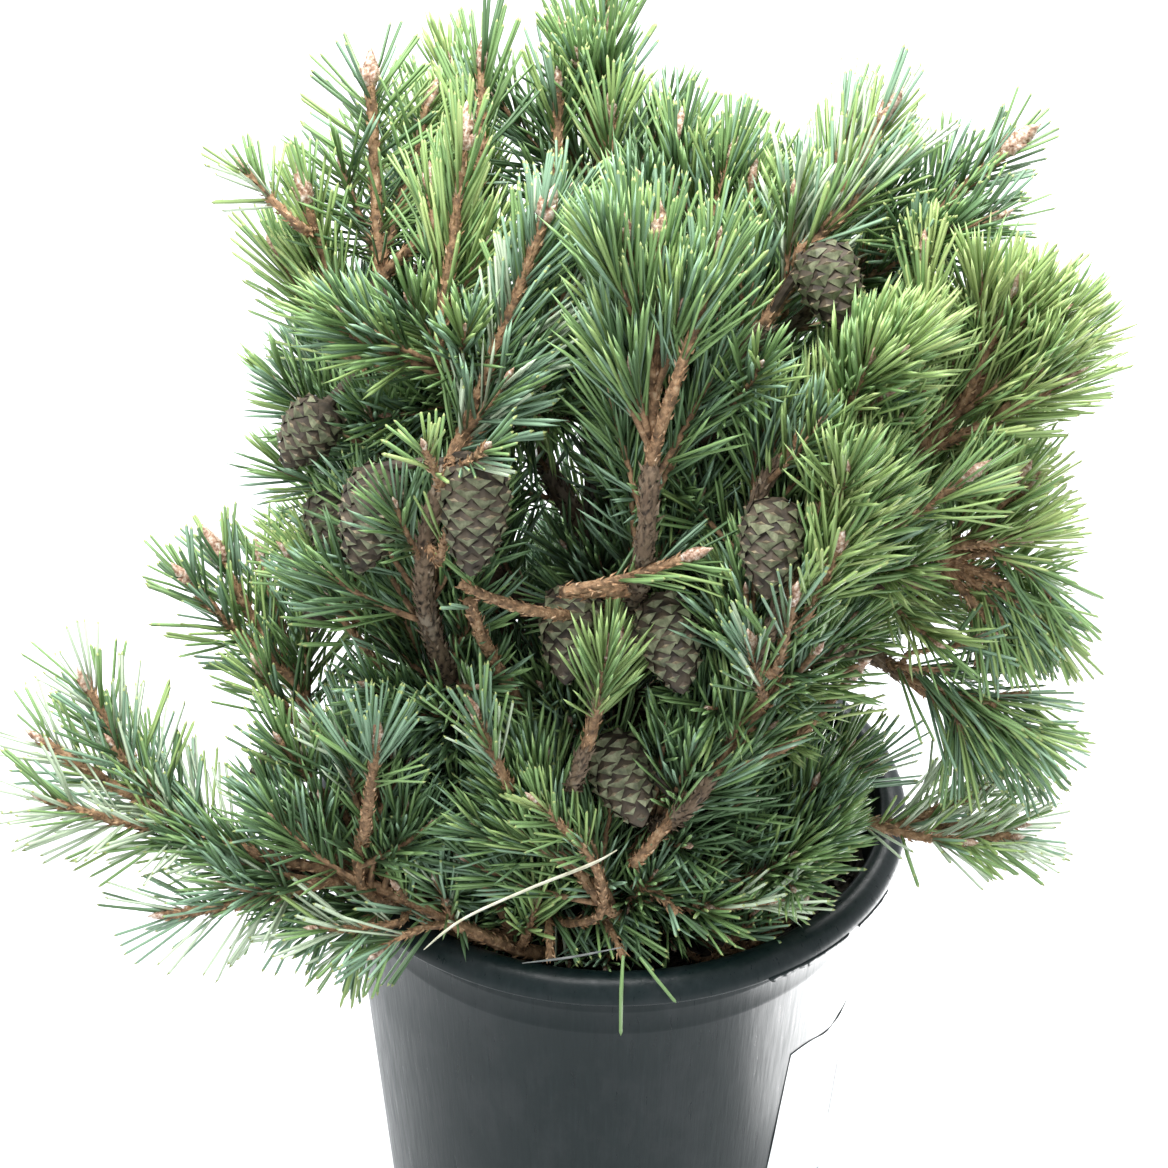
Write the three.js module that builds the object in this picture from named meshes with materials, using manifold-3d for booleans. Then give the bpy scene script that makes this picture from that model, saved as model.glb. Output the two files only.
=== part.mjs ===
// Mugo pine: a bushy young plant with many upright shoots and a crop of cones, in its black plastic pot.
// Millimetres, +Z up. The origin is the centre of the pot's flat underside and -Y is the front.
// Places on the plant are [bearing, reach, height]: degrees round the pot's axis from +X towards +Y,
// millimetres out from that axis, and millimetres above the pot's underside.

import * as THREE from 'three';
import { mergeVertices } from 'three/addons/utils/BufferGeometryUtils.js';
import Module from 'manifold-3d';

const wasm = await Module();
wasm.setup();

// ---------------------------------------------------------------- driving dimensions

const CLEARANCE = 0.3;                 // left between two solids that meet
const POT = {
  height: 320, baseRadius: 106, topRadius: 132.5, rimRadius: 145, rimHeight: 12, wall: 2.5, floor: 4,
  stepHeight: 278, stepOut: 0.6, rimRound: 5, facets: 32,
};
const SOIL = { top: 275 };
const TRUNK = { flareRadius: 27, flareHeight: 26, rootRadius: 14, tipRadius: 4.2, sides: 7, steps: 9 };
const BOUGH = { rootRadius: 6.4, tipRadius: 3.4, sides: 5, steps: 4 };
const RISE = { outward: 1.1, onward: 0.6, leaving: 0.36, arriving: 0.34 };
const STEM = { rootRadius: 3.6, tipRadius: 2.4, sides: 3, bareStep: 26, sag: 0.12 };
const TWIG = { rootRadius: 3, tipRadius: 2.2, sides: 3, shortest: 34, droop: 0.3, lift: 0.35 };
const WHORL = {
  first: 0.04, span: 0.5, scatter: 0.06, lean: 18, leanScatter: 13, turn: 137.5, turnScatter: 40,
};
const NEEDLE = {
  length: 44, tipLength: 34, spacing: 9, firstAt: 11, lean: 40, tipLean: 26, leanScatter: 5,
  twist: 34, bud: 7,
};
const CONE = { facets: 6, stalkEnd: 0.4, axisEnd: 0.3 };

// Where a mass may grow: how much nearer its own axes than any neighbour's, and how clear of the wood.
const SPACE = { betweenStems: 9, betweenNeedles: 4, offWood: 2.6, offPot: 3, betweenTwigs: 1, sample: 4 };

// The trunk runs up inside the crown to the topmost mass.
const TRUNK_TOP = [103, 44, 640];
const TRUNK_LINE = [[300, 7, 262], [120, 3, 390], [112, 24, 520], TRUNK_TOP];

// Each row is one mass of foliage and the wood that carries it. `on` and `at` say where on the trunk or on
// another bough it springs, `foot` is where its foliage starts and `tip` is its leading bud. A row with a
// girth has a bough of its own up to the foot, and a row without one has a stem that springs from the wood.
const MASSES = [
  { name: 'top', on: 'trunk', at: 1, foot: TRUNK_TOP, tip: [113, 56, 692], twigs: 3 },
  {
    name: 'upper_left', on: 'trunk', at: 0.36, girth: 1, twigs: 1,
    foot: [182, 106, 605], tip: [160, 118, 680],
  },
  {
    name: 'far_left', on: 'upper_left', at: 0.5, girth: 0.75, twigs: 1,
    foot: [190, 116, 566], tip: [178, 138, 640],
  },
  { name: 'left_inner', on: 'trunk', at: 0.74, foot: [219, 99, 616], tip: [208, 76, 689], twigs: 1 },
  {
    name: 'front_blue', on: 'trunk', at: 0.2, girth: 1, twigs: 2,
    foot: [234, 124, 572], tip: [244, 76, 673],
  },
  { name: 'top_right', on: 'trunk', at: 0.78, foot: [318, 42, 622], tip: [0, 44, 662], twigs: 3 },
  { name: 'fork', on: 'trunk', at: 0.42, foot: [276, 117, 584], tip: [280, 83, 670], girth: 1, twigs: 2 },
  {
    name: 'upper_right', on: 'trunk', at: 0.52, girth: 1, twigs: 2,
    foot: [315, 84, 618], tip: [353, 110, 692],
  },
  {
    name: 'right_back', on: 'trunk', at: 0.6, girth: 0.8, twigs: 1,
    foot: [355, 106, 620], tip: [4, 165, 665],
  },
  {
    name: 'right_bright', on: 'trunk', at: 0.28, girth: 1.05, twigs: 4,
    foot: [331, 147, 561], tip: [346, 182, 616],
  },
  {
    name: 'right_mid', on: 'right_bright', at: 0.5, girth: 0.7, twigs: 3,
    foot: [304, 121, 577], tip: [323, 131, 616],
  },
  {
    name: 'right_inner', on: 'right_bright', at: 0.3, girth: 0.75, twigs: 3,
    foot: [298, 148, 526], tip: [312, 140, 575],
  },
  {
    name: 'right_edge', on: 'right_bright', at: 0.68, girth: 0.7, twigs: 3,
    foot: [334, 158, 503], tip: [342, 186, 535],
  },
  {
    name: 'right_droop', on: 'trunk', at: 0.24, girth: 0.85, twigs: 3,
    foot: [331, 147, 445], tip: [334, 199, 418],
  },
  {
    name: 'right_low', on: 'trunk', at: 0.1, girth: 0.85, twigs: 3,
    foot: [326, 138, 364], tip: [336, 202, 367],
  },
  {
    name: 'mid_right', on: 'trunk', at: 0.17, girth: 0.85, twigs: 4,
    foot: [289, 133, 429], tip: [309, 128, 484],
  },
  { name: 'front_right', on: 'mid_right', at: 0.5, foot: [276, 133, 390], tip: [294, 122, 440], twigs: 3 },
  { name: 'low_right', on: 'trunk', at: 0.06, foot: [295, 102, 340], tip: [318, 125, 359], twigs: 3 },
  {
    name: 'front_centre', on: 'trunk', at: 0.3, girth: 0.75, twigs: 1,
    foot: [264, 129, 444], tip: [269, 115, 485],
  },
  { name: 'front_bright', on: 'trunk', at: 0.07, foot: [264, 125, 366], tip: [250, 115, 405], twigs: 3 },
  { name: 'front_low', on: 'trunk', at: 0.1, foot: [243, 110, 321], tip: [229, 119, 390], twigs: 3 },
  { name: 'front_fan', on: 'trunk', at: 0.09, foot: [224, 160, 372], tip: [221, 141, 417], twigs: 4 },
  {
    name: 'left_mid', on: 'front_blue', at: 0.35, girth: 0.85, twigs: 3,
    foot: [222, 107, 433], tip: [202, 135, 500],
  },
  {
    name: 'left_up', on: 'trunk', at: 0.17, girth: 0.8, twigs: 2,
    foot: [197, 144, 388], tip: [184, 183, 462],
  },
  {
    name: 'left_long', on: 'trunk', at: 0.03, girth: 0.9, twigs: 3,
    foot: [211, 188, 352], tip: [198, 273, 411],
  },
  { name: 'left_low', on: 'left_long', at: 0.72, foot: [220, 175, 352], tip: [211, 237, 341], twigs: 1 },
  { name: 'back_high', on: 'trunk', at: 0.62, foot: [86, 88, 556], tip: [84, 110, 618], twigs: 3 },
  {
    name: 'back_left_high', on: 'trunk', at: 0.5, girth: 0.85, twigs: 3,
    foot: [136, 90, 572], tip: [136, 112, 634],
  },
  {
    name: 'back_right_high', on: 'trunk', at: 0.5, girth: 0.85, twigs: 4,
    foot: [42, 104, 544], tip: [42, 128, 602],
  },
  {
    name: 'back_right', on: 'trunk', at: 0.32, girth: 0.9, twigs: 4,
    foot: [12, 136, 486], tip: [10, 180, 546],
  },
  {
    name: 'back_mid', on: 'trunk', at: 0.4, girth: 0.85, twigs: 4,
    foot: [68, 122, 494], tip: [64, 160, 562],
  },
  {
    name: 'back_left', on: 'trunk', at: 0.26, girth: 0.85, twigs: 3,
    foot: [158, 108, 474], tip: [160, 134, 544],
  },
  { name: 'back_low_right', on: 'trunk', at: 0.16, foot: [34, 112, 378], tip: [28, 166, 430], twigs: 3 },
  { name: 'back_low', on: 'trunk', at: 0.2, foot: [90, 106, 388], tip: [84, 154, 448], twigs: 3 },
  { name: 'back_low_left', on: 'trunk', at: 0.12, foot: [142, 110, 376], tip: [146, 152, 436], twigs: 3 },
];

// Ripe cones hang on short stalks from a mass's stem. `at` is where on the stem, `seat` the middle of the
// cone, `aim` the bearing and elevation that it points in.
const CONES = [
  { on: 'front_blue', at: 0.04, seat: [245, 144, 567], aim: [262, -66], length: 52, width: 28 },
  { on: 'front_blue', at: 0.02, seat: [224, 148, 546], aim: [230, -70], length: 52, width: 27 },
  { on: 'far_left', at: 0.05, seat: [203, 148, 560], aim: [205, -52], length: 36, width: 25 },
  { on: 'front_centre', at: 0.3, seat: [259, 108, 490], aim: [262, -48], length: 46, width: 27 },
  { on: 'front_centre', at: 0.5, seat: [281, 120, 494], aim: [292, -50], length: 46, width: 27 },
  { on: 'right_inner', at: 0.25, seat: [296, 144, 552], aim: [262, -58], length: 44, width: 27 },
  { on: 'front_right', at: 0.7, seat: [272, 118, 419], aim: [298, -40], length: 46, width: 28 },
  { on: 'left_long', at: 0.02, seat: [212, 168, 370], aim: [192, -8], length: 38, width: 23 },
  { on: 'left_mid', at: 0.75, seat: [206, 141, 513], aim: [290, -50], length: 36, width: 22 },
  { on: 'left_mid', at: 0.3, seat: [204, 145, 472], aim: [230, -60], length: 30, width: 20 },
  { on: 'left_up', at: 0.06, seat: [202, 165, 382], aim: [190, -12], length: 34, width: 21 },
  { on: 'upper_right', at: 0.06, seat: [324, 108, 640], aim: [300, -50], length: 40, width: 27 },
  { on: 'back_mid', at: 0.1, seat: [54, 140, 480], aim: [40, -55], length: 48, width: 28 },
  { on: 'back_left', at: 0.08, seat: [146, 126, 462], aim: [130, -50], length: 46, width: 27 },
  { on: 'back_right_high', at: 0.06, seat: [28, 126, 566], aim: [10, -50], length: 42, width: 26 },
];

const FINISH = {
  pot: { color: 0x2b3135, roughness: 0.42, metalness: 0 },
  soil: { color: 0x2a211a, roughness: 0.95, metalness: 0 },
  bark: { color: 0x6f5443, roughness: 0.9, metalness: 0 },
  needles: { color: 0x4f7f4b, roughness: 0.6, metalness: 0 },
};

// ---------------------------------------------------------------- places, directions and chance

const UP = new THREE.Vector3(0, 0, 1);

function place([bearing, reach, height]) {
  const angle = THREE.MathUtils.degToRad(bearing);
  return new THREE.Vector3(reach * Math.cos(angle), reach * Math.sin(angle), height);
}

function heading(bearing, elevation) {
  const level = Math.cos(THREE.MathUtils.degToRad(elevation));
  return place([bearing, level, Math.sin(THREE.MathUtils.degToRad(elevation))]);
}

// A small seeded generator, so that the same plant grows every time.
function seeded(seed) {
  let state = seed >>> 0;
  return () => {
    state = (state + 0x6d2b79f5) >>> 0;
    let mixed = Math.imul(state ^ (state >>> 15), state | 1);
    mixed ^= mixed + Math.imul(mixed ^ (mixed >>> 7), mixed | 61);
    return ((mixed ^ (mixed >>> 14)) >>> 0) / 4294967296;
  };
}

// A direction that leans off `axis` by `lean` degrees, turned `turn` degrees round it.
function leaning(axis, lean, turn) {
  const helper = Math.abs(axis.z) > 0.9 ? new THREE.Vector3(1, 0, 0) : UP;
  const side = new THREE.Vector3().crossVectors(axis, helper).normalize();
  return side
    .applyAxisAngle(axis, THREE.MathUtils.degToRad(turn))
    .multiplyScalar(Math.sin(THREE.MathUtils.degToRad(lean)))
    .addScaledVector(axis, Math.cos(THREE.MathUtils.degToRad(lean)))
    .normalize();
}

// ---------------------------------------------------------------- closed bodies

function geometryOf(points, triangles) {
  const geometry = new THREE.BufferGeometry();
  geometry.setAttribute('position', new THREE.Float32BufferAttribute(points.flatMap((p) => p.toArray()), 3));
  geometry.setIndex(triangles.flat());
  return geometry;
}

function solidOf(geometry) {
  const bare = geometry.clone();
  bare.deleteAttribute('normal');
  bare.deleteAttribute('uv');
  const merged = mergeVertices(bare, 1e-4);
  return new wasm.Manifold(new wasm.Mesh({
    numProp: 3,
    vertProperties: new Float32Array(merged.attributes.position.array),
    triVerts: new Uint32Array(merged.index.array),
  }));
}

function geometryFrom(solid) {
  const mesh = solid.getMesh();
  const geometry = new THREE.BufferGeometry();
  geometry.setAttribute('position', new THREE.BufferAttribute(new Float32Array(mesh.vertProperties), 3));
  geometry.setIndex(new THREE.BufferAttribute(new Uint32Array(mesh.triVerts), 1));
  return geometry;
}

// Rings of corners round a curve, one at each station, each turned on from the last by `twist` degrees.
function ringsAlong(curve, radiusAt, sides, stations, twist = 0) {
  let side = leaning(curve.getTangentAt(0), 90, 0);
  return stations.map((along, index) => {
    const tangent = curve.getTangentAt(along);
    side = side.clone().addScaledVector(tangent, -side.dot(tangent)).normalize();
    const across = new THREE.Vector3().crossVectors(tangent, side);
    const centre = curve.getPointAt(along);
    return Array.from({ length: sides }, (_, corner) => {
      const angle = (2 * Math.PI * corner) / sides + THREE.MathUtils.degToRad(twist * index);
      return centre.clone()
        .addScaledVector(side, radiusAt(along) * Math.cos(angle))
        .addScaledVector(across, radiusAt(along) * Math.sin(angle));
    });
  });
}

// Skins the rings into a closed body. drawnTo gives the point that a face between two rings is drawn out to,
// or nothing where that face stays flat, and `point` closes the far end where it isn't cut off flat.
function skinned(rings, drawnTo = () => null, point = null) {
  const sides = rings[0].length;
  const points = rings.flat();
  const triangles = [];
  for (let ring = 0; ring < rings.length - 1; ring += 1) {
    for (let corner = 0; corner < sides; corner += 1) {
      const next = (corner + 1) % sides;
      const low = ring * sides;
      const face = [low + corner, low + next, low + sides + next, low + sides + corner];
      const tip = drawnTo(ring, face.map((index) => points[index]));
      if (tip) {
        points.push(tip);
        face.forEach((index, edge) => triangles.push([index, face[(edge + 1) % 4], points.length - 1]));
      } else {
        triangles.push([face[0], face[1], face[2]], [face[0], face[2], face[3]]);
      }
    }
  }
  const last = (rings.length - 1) * sides;
  for (let corner = 1; corner < sides - 1; corner += 1) {
    triangles.push([0, corner + 1, corner]);
    if (!point) triangles.push([last, last + corner, last + corner + 1]);
  }
  if (point) {
    points.push(point);
    rings[0].forEach((_, corner) => {
      triangles.push([last + corner, last + ((corner + 1) % sides), points.length - 1]);
    });
  }
  return geometryOf(points, triangles);
}

// A tapering limb along a curve with flat ends.
function limbGeometry(curve, radiusAt, sides, steps) {
  const stations = Array.from({ length: steps + 1 }, (_, step) => step / steps);
  return skinned(ringsAlong(curve, radiusAt, sides, stations));
}

// A closed cone of scales: broad near its stalk and tapering to a blunt point.
function coneGeometry({ seat, aim, length, width }) {
  const outline = [[0, -0.5], [0.34, -0.46], [0.5, -0.2], [0.36, 0.24], [0, 0.5]];
  const profile = outline.map(([out, along]) => new THREE.Vector2(out * width, along * length));
  const geometry = new THREE.LatheGeometry(profile, CONE.facets);
  const ahead = new THREE.Vector3(0, 1, 0);
  geometry.applyQuaternion(new THREE.Quaternion().setFromUnitVectors(ahead, heading(...aim)));
  return geometry.translate(...place(seat).toArray());
}

// ---------------------------------------------------------------- the wood

const taper = (root, tip) => (along) => root + (tip - root) * along;

function trunkRadius(along) {
  const flare = Math.max(0, 1 - (along * (TRUNK_TOP[2] - SOIL.top)) / TRUNK.flareHeight);
  const straight = taper(TRUNK.rootRadius, TRUNK.tipRadius)(along);
  return straight + (TRUNK.flareRadius - TRUNK.rootRadius) * flare ** 2;
}

// The limb's solid, cut back so that it clears each of `others`, with any loose scrap dropped.
function cutClear(solid, others) {
  const cut = others.reduce((rest, limb) => {
    const grown = (along) => limb.radiusAt(along) + CLEARANCE;
    return rest.subtract(solidOf(limbGeometry(limb.curve, grown, limb.sides, limb.steps)));
  }, solid);
  return cut.decompose().sort((one, two) => two.volume() - one.volume())[0];
}

// A path that leaves its carrier outwards and upwards and reaches the foot in line with the leading shoot.
function risingPath(start, carrierTangent, foot, arriving) {
  const span = start.distanceTo(foot);
  const outward = foot.clone().sub(start).setZ(0).normalize().multiplyScalar(RISE.outward);
  const leaving = outward.addScaledVector(carrierTangent, RISE.onward).normalize();
  const first = start.clone().addScaledVector(leaving, span * RISE.leaving);
  const second = foot.clone().addScaledVector(arriving, -span * RISE.arriving);
  return new THREE.CubicBezierCurve3(start, first, second, foot);
}

// A leading shoot leaves its foot a little low and turns up at its bud.
function shootPath(foot, leaving, tip) {
  const middle = foot.clone().addScaledVector(leaving, foot.distanceTo(tip) / 2);
  return new THREE.QuadraticBezierCurve3(foot, middle, tip);
}

const limbs = {};
limbs.trunk = {
  curve: new THREE.CatmullRomCurve3(TRUNK_LINE.map(place)),
  radiusAt: trunkRadius,
  sides: TRUNK.sides,
  steps: TRUNK.steps,
};

for (const row of MASSES) {
  const carrier = limbs[row.on];
  const foot = place(row.foot);
  const tip = place(row.tip);
  const onTop = row.at === 1;
  const leader = tip.clone().sub(foot).addScaledVector(UP, -STEM.sag * foot.distanceTo(tip)).normalize();
  const leaving = onTop ? carrier.curve.getTangentAt(1) : leader;
  const shootFoot = row.girth || onTop ? foot.clone().addScaledVector(leaving, CLEARANCE) : foot;
  row.shoot = shootPath(shootFoot, leaving, tip);
  if (onTop) {
    row.stem = row.shoot;
    continue;
  }
  const start = carrier.curve.getPointAt(row.at);
  const rise = risingPath(start, carrier.curve.getTangentAt(row.at), foot, leaving);
  if (row.girth) {
    limbs[row.name] = {
      curve: rise,
      radiusAt: taper(BOUGH.rootRadius * row.girth, BOUGH.tipRadius * Math.sqrt(row.girth)),
      sides: BOUGH.sides,
      steps: BOUGH.steps,
      carrier,
    };
    row.stem = row.shoot;
  } else {
    row.carrier = carrier;
    row.stem = new THREE.CurvePath();
    row.stem.add(rise);
    row.stem.add(row.shoot);
  }
}

// ---------------------------------------------------------------- the foliage

// The straight pieces of a curve, as the axes that the masses measure their space from.
function axesOf(curve, pieces) {
  const points = curve.getSpacedPoints(pieces);
  return points.slice(1).map((end, index) => new THREE.Line3(points[index], end));
}

const nearest = new THREE.Vector3();
function distanceTo(point, axes) {
  let least = Infinity;
  for (const axis of axes) {
    axis.closestPointToPoint(point, true, nearest);
    least = Math.min(least, nearest.distanceTo(point));
  }
  return least;
}

const wood = Object.entries(limbs).map(([name, limb]) => ({ name, limb, axes: axesOf(limb.curve, 12) }));

function clearOfWood(point, margin) {
  return wood.every(({ limb, axes }) => axes.every((axis, index) => {
    axis.closestPointToPoint(point, true, nearest);
    return nearest.distanceTo(point) > limb.radiusAt(index / axes.length) + margin;
  }));
}

// The line down the middle of a cone, from where its stalk enters to near its point.
function coneAxis(cone) {
  const direction = heading(...cone.aim);
  const seat = place(cone.seat);
  return new THREE.Line3(
    seat.clone().addScaledVector(direction, -cone.length * CONE.stalkEnd),
    seat.clone().addScaledVector(direction, cone.length * CONE.axisEnd),
  );
}

const fruit = CONES.map((cone) => ({ axis: coneAxis(cone), radius: cone.width / 2 }));

function clearOfFruit(point, margin) {
  return fruit.every(({ axis, radius }) => {
    axis.closestPointToPoint(point, true, nearest);
    return nearest.distanceTo(point) > radius + margin;
  });
}

const wallRadius = (height) => POT.baseRadius + ((POT.topRadius - POT.baseRadius) * height) / POT.height;

function clearOfPot(point) {
  const reach = Math.hypot(point.x, point.y);
  if (reach < wallRadius(point.z) - POT.wall - SPACE.offPot) return point.z > SOIL.top + SPACE.offPot;
  return point.z > POT.height + SPACE.offPot || reach > POT.rimRadius + SPACE.offPot;
}

// Points along a straight line, the root left out because it sits in the wood that carries it.
function samplesAlong(root, direction, length, from) {
  const count = Math.ceil((length - from) / SPACE.sample);
  return Array.from({ length: count + 1 }, (_, index) =>
    root.clone().addScaledVector(direction, from + ((length - from) * index) / count));
}

function inOwnSpace(point, own, key, margin) {
  const home = distanceTo(point, own[key]);
  return MASSES.every((other) => other === own || distanceTo(point, other[key]) > home + margin);
}

for (const row of MASSES) {
  row.stemAxes = axesOf(row.stem, row.carrier ? 9 : 4);
}

// A twig leaves its root in `direction` and turns up at its tip.
function twigPath(root, direction, length) {
  const bend = root.clone().addScaledVector(direction, length / 2);
  const turned = direction.clone().addScaledVector(UP, TWIG.lift).normalize();
  return new THREE.QuadraticBezierCurve3(root, bend, bend.clone().addScaledVector(turned, length / 2));
}

function twigFits(row, curve) {
  return curve.getSpacedPoints(6).slice(1).every((point, step) =>
    clearOfPot(point)
    && clearOfFruit(point, TWIG.rootRadius + CLEARANCE)
    && inOwnSpace(point, row, 'stemAxes', SPACE.betweenStems)
    && (step < 1 || clearOfWood(point, SPACE.offWood + TWIG.rootRadius)));
}

// Where a twig doesn't fit, these are tried in turn: degrees on round the shoot, and share of its length.
const SECOND_TRIES = [[0, 1], [50, 1], [-50, 1], [0, 0.75], [95, 0.85], [-95, 0.85], [0, 0.55]];

// Twigs leave the leading shoot in loose whorls, each a golden angle on from the last.
MASSES.forEach((row, index) => {
  const random = seeded(101 + index);
  const leaderLength = row.shoot.getLength();
  row.twigCurves = [];
  for (let twig = 0; twig < row.twigs; twig += 1) {
    const at = WHORL.first + (WHORL.span * twig) / row.twigs + WHORL.scatter * random();
    const lean = WHORL.lean + WHORL.leanScatter * random();
    const turn = WHORL.turn * twig + WHORL.turnScatter * random();
    const root = row.shoot.getPointAt(at);
    const axis = row.shoot.getTangentAt(at);
    const wanted = Math.max(TWIG.shortest, leaderLength * (0.8 - 0.45 * at) * (0.85 + 0.3 * random()));
    for (const [swing, share] of SECOND_TRIES) {
      const direction = leaning(axis, lean, turn + swing);
      const curve = twigPath(root, direction, Math.max(TWIG.shortest, wanted * share));
      if (direction.z > -TWIG.droop && twigFits(row, curve)) {
        row.twigCurves.push(curve);
        break;
      }
    }
  }
});

for (const row of MASSES) {
  row.own = new Map([[row.stem, row.stemAxes], ...row.twigCurves.map((curve) => [curve, axesOf(curve, 2)])]);
  row.axes = [...row.own.values()].flat();
  row.others = new Map([...row.own.keys()].map((curve) =>
    [curve, [...row.own].filter(([other]) => other !== curve).flatMap(([, axes]) => axes)]));
}

function needleFits(row, curve, root, direction, length) {
  return samplesAlong(root, direction, length, 7).every((point) =>
    clearOfPot(point)
    && clearOfFruit(point, SPACE.offWood)
    && clearOfWood(point, SPACE.offWood)
    && inOwnSpace(point, row, 'axes', SPACE.betweenNeedles)
    && distanceTo(point, row.others.get(curve)) > distanceTo(point, row.own.get(curve)) + SPACE.betweenTwigs);
}

// A shoot is a slim core whose faces rise into needles all round it. They lean forward, close up towards the
// bud, and start a little way out from `bare`, the length that carries none.
function shootGeometry(row, curve, radiusAt, sides, bare, random) {
  const length = curve.getLength();
  const first = bare + NEEDLE.firstAt;
  const rows = Math.max(2, Math.round((length - first) / NEEDLE.spacing));
  const bareRings = Math.max(1, Math.round(first / STEM.bareStep));
  const stations = [
    ...Array.from({ length: bareRings }, (_, ring) => (first * ring) / bareRings / length),
    ...Array.from({ length: rows + 1 }, (_, ring) => THREE.MathUtils.lerp(first / length, 1, ring / rows)),
  ];
  const rings = ringsAlong(curve, radiusAt, sides, stations, NEEDLE.twist);
  const needleOn = (ring, face) => {
    if (ring < bareRings) return null;
    const along = (stations[ring] + stations[ring + 1]) / 2;
    const middle = face.reduce((sum, corner) => sum.add(corner), new THREE.Vector3()).divideScalar(4);
    const outward = middle.clone().sub(curve.getPointAt(along)).normalize();
    const tipward = Math.max(0, (ring - bareRings) / (rows - 1) - 0.5) * 2;
    const lean = THREE.MathUtils.lerp(NEEDLE.lean, NEEDLE.tipLean, tipward) + NEEDLE.leanScatter * random();
    const angle = THREE.MathUtils.degToRad(lean);
    const onward = curve.getTangentAt(along).multiplyScalar(Math.cos(angle));
    const direction = onward.addScaledVector(outward, Math.sin(angle));
    const reach = THREE.MathUtils.lerp(NEEDLE.length, NEEDLE.tipLength, tipward) * (0.88 + 0.24 * random());
    return needleFits(row, curve, middle, direction, reach) ? middle.addScaledVector(direction, reach) : null;
  };
  const bud = curve.getPointAt(1).addScaledVector(curve.getTangentAt(1), NEEDLE.bud);
  return skinned(rings, needleOn, bud);
}

function coneOn(row, cone) {
  const stalk = new THREE.LineCurve3(row.stem.getPointAt(cone.at), coneAxis(cone).start);
  return solidOf(limbGeometry(stalk, () => TWIG.rootRadius, TWIG.sides, 1)).add(solidOf(coneGeometry(cone)));
}

function massSolid(row, index) {
  const random = seeded(701 + index);
  const bare = row.stem.getLength() - row.shoot.getLength();
  const parts = [
    shootGeometry(row, row.stem, taper(STEM.rootRadius, STEM.tipRadius), STEM.sides, bare, random),
    ...row.twigCurves.map((curve) =>
      shootGeometry(row, curve, taper(TWIG.rootRadius, TWIG.tipRadius), TWIG.sides, 0, random)),
  ];
  const cones = CONES.filter(({ on }) => on === row.name).map((cone) => coneOn(row, cone));
  return [...parts.map(solidOf), ...cones].reduce((sum, part) => sum.add(part));
}

// ---------------------------------------------------------------- the pot and what fills it

// A thin-walled tapering pot with a small step under its rolled rim.
function potGeometry() {
  const { height, baseRadius, rimRadius, rimHeight, rimRound, wall, floor, stepHeight, stepOut } = POT;
  const rimFoot = height - rimHeight;
  const stepRadius = wallRadius(stepHeight);
  const profile = [
    [0, 0], [baseRadius, 0], [stepRadius, stepHeight], [stepRadius + stepOut, stepHeight + 1],
    [wallRadius(rimFoot) + stepOut, rimFoot], [rimRadius - 1, rimFoot], [rimRadius, height - rimRound],
    [rimRadius - rimRound, height], [wallRadius(height), height - rimRound / 3],
    [wallRadius(rimFoot) - wall, rimFoot - rimRound], [wallRadius(floor) - wall, floor], [0, floor],
  ];
  const outline = profile.map(([out, up]) => new THREE.Vector2(out, up));
  return new THREE.LatheGeometry(outline, POT.facets).rotateX(Math.PI / 2);
}

function soilGeometry() {
  const low = POT.floor + CLEARANCE;
  const inside = (height) => wallRadius(height) - POT.wall - 1;
  const profile = [[0, low], [inside(low), low], [inside(SOIL.top), SOIL.top], [0, SOIL.top]];
  const outline = profile.map(([out, up]) => new THREE.Vector2(out, up));
  return new THREE.LatheGeometry(outline, POT.facets).rotateX(Math.PI / 2);
}

// ---------------------------------------------------------------- assembly

const plant = new THREE.Group();

function addPiece(name, geometry, finish) {
  const mesh = new THREE.Mesh(geometry, new THREE.MeshStandardMaterial(finish));
  mesh.name = name;
  plant.add(mesh);
}

addPiece('pot', potGeometry(), FINISH.pot);
addPiece('soil', soilGeometry(), FINISH.soil);

for (const [name, limb] of Object.entries(limbs)) {
  const solid = solidOf(limbGeometry(limb.curve, limb.radiusAt, limb.sides, limb.steps));
  if (limb.carrier) {
    addPiece(`bough_${name}`, geometryFrom(cutClear(solid, [limb.carrier])), FINISH.bark);
  } else {
    const ground = new THREE.BoxGeometry(4 * TRUNK.flareRadius, 4 * TRUNK.flareRadius, 60);
    ground.translate(0, 0, SOIL.top + CLEARANCE - 30);
    addPiece(name, geometryFrom(solid.subtract(solidOf(ground))), FINISH.bark);
  }
}

MASSES.forEach((row, index) => {
  const carriers = [row.carrier, limbs[row.name], row.at === 1 && limbs.trunk].filter(Boolean);
  addPiece(`mass_${row.name}`, geometryFrom(cutClear(massSolid(row, index), carriers)), FINISH.needles);
});

export default plant;
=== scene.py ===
# A bushy young mugo pine with ripe cones, in its black plastic pot.
# The pine's own sizes are in millimetres, as in its solid model, and MM turns them into metres where a mesh is made.
# Places on the plant are (bearing, reach, height): degrees round the pot's axis from +X towards +Y, then
# millimetres out from that axis and above the pot's underside. The front is -Y.

import math

import bpy
import numpy as np
from mathutils import Matrix, Vector


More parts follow.
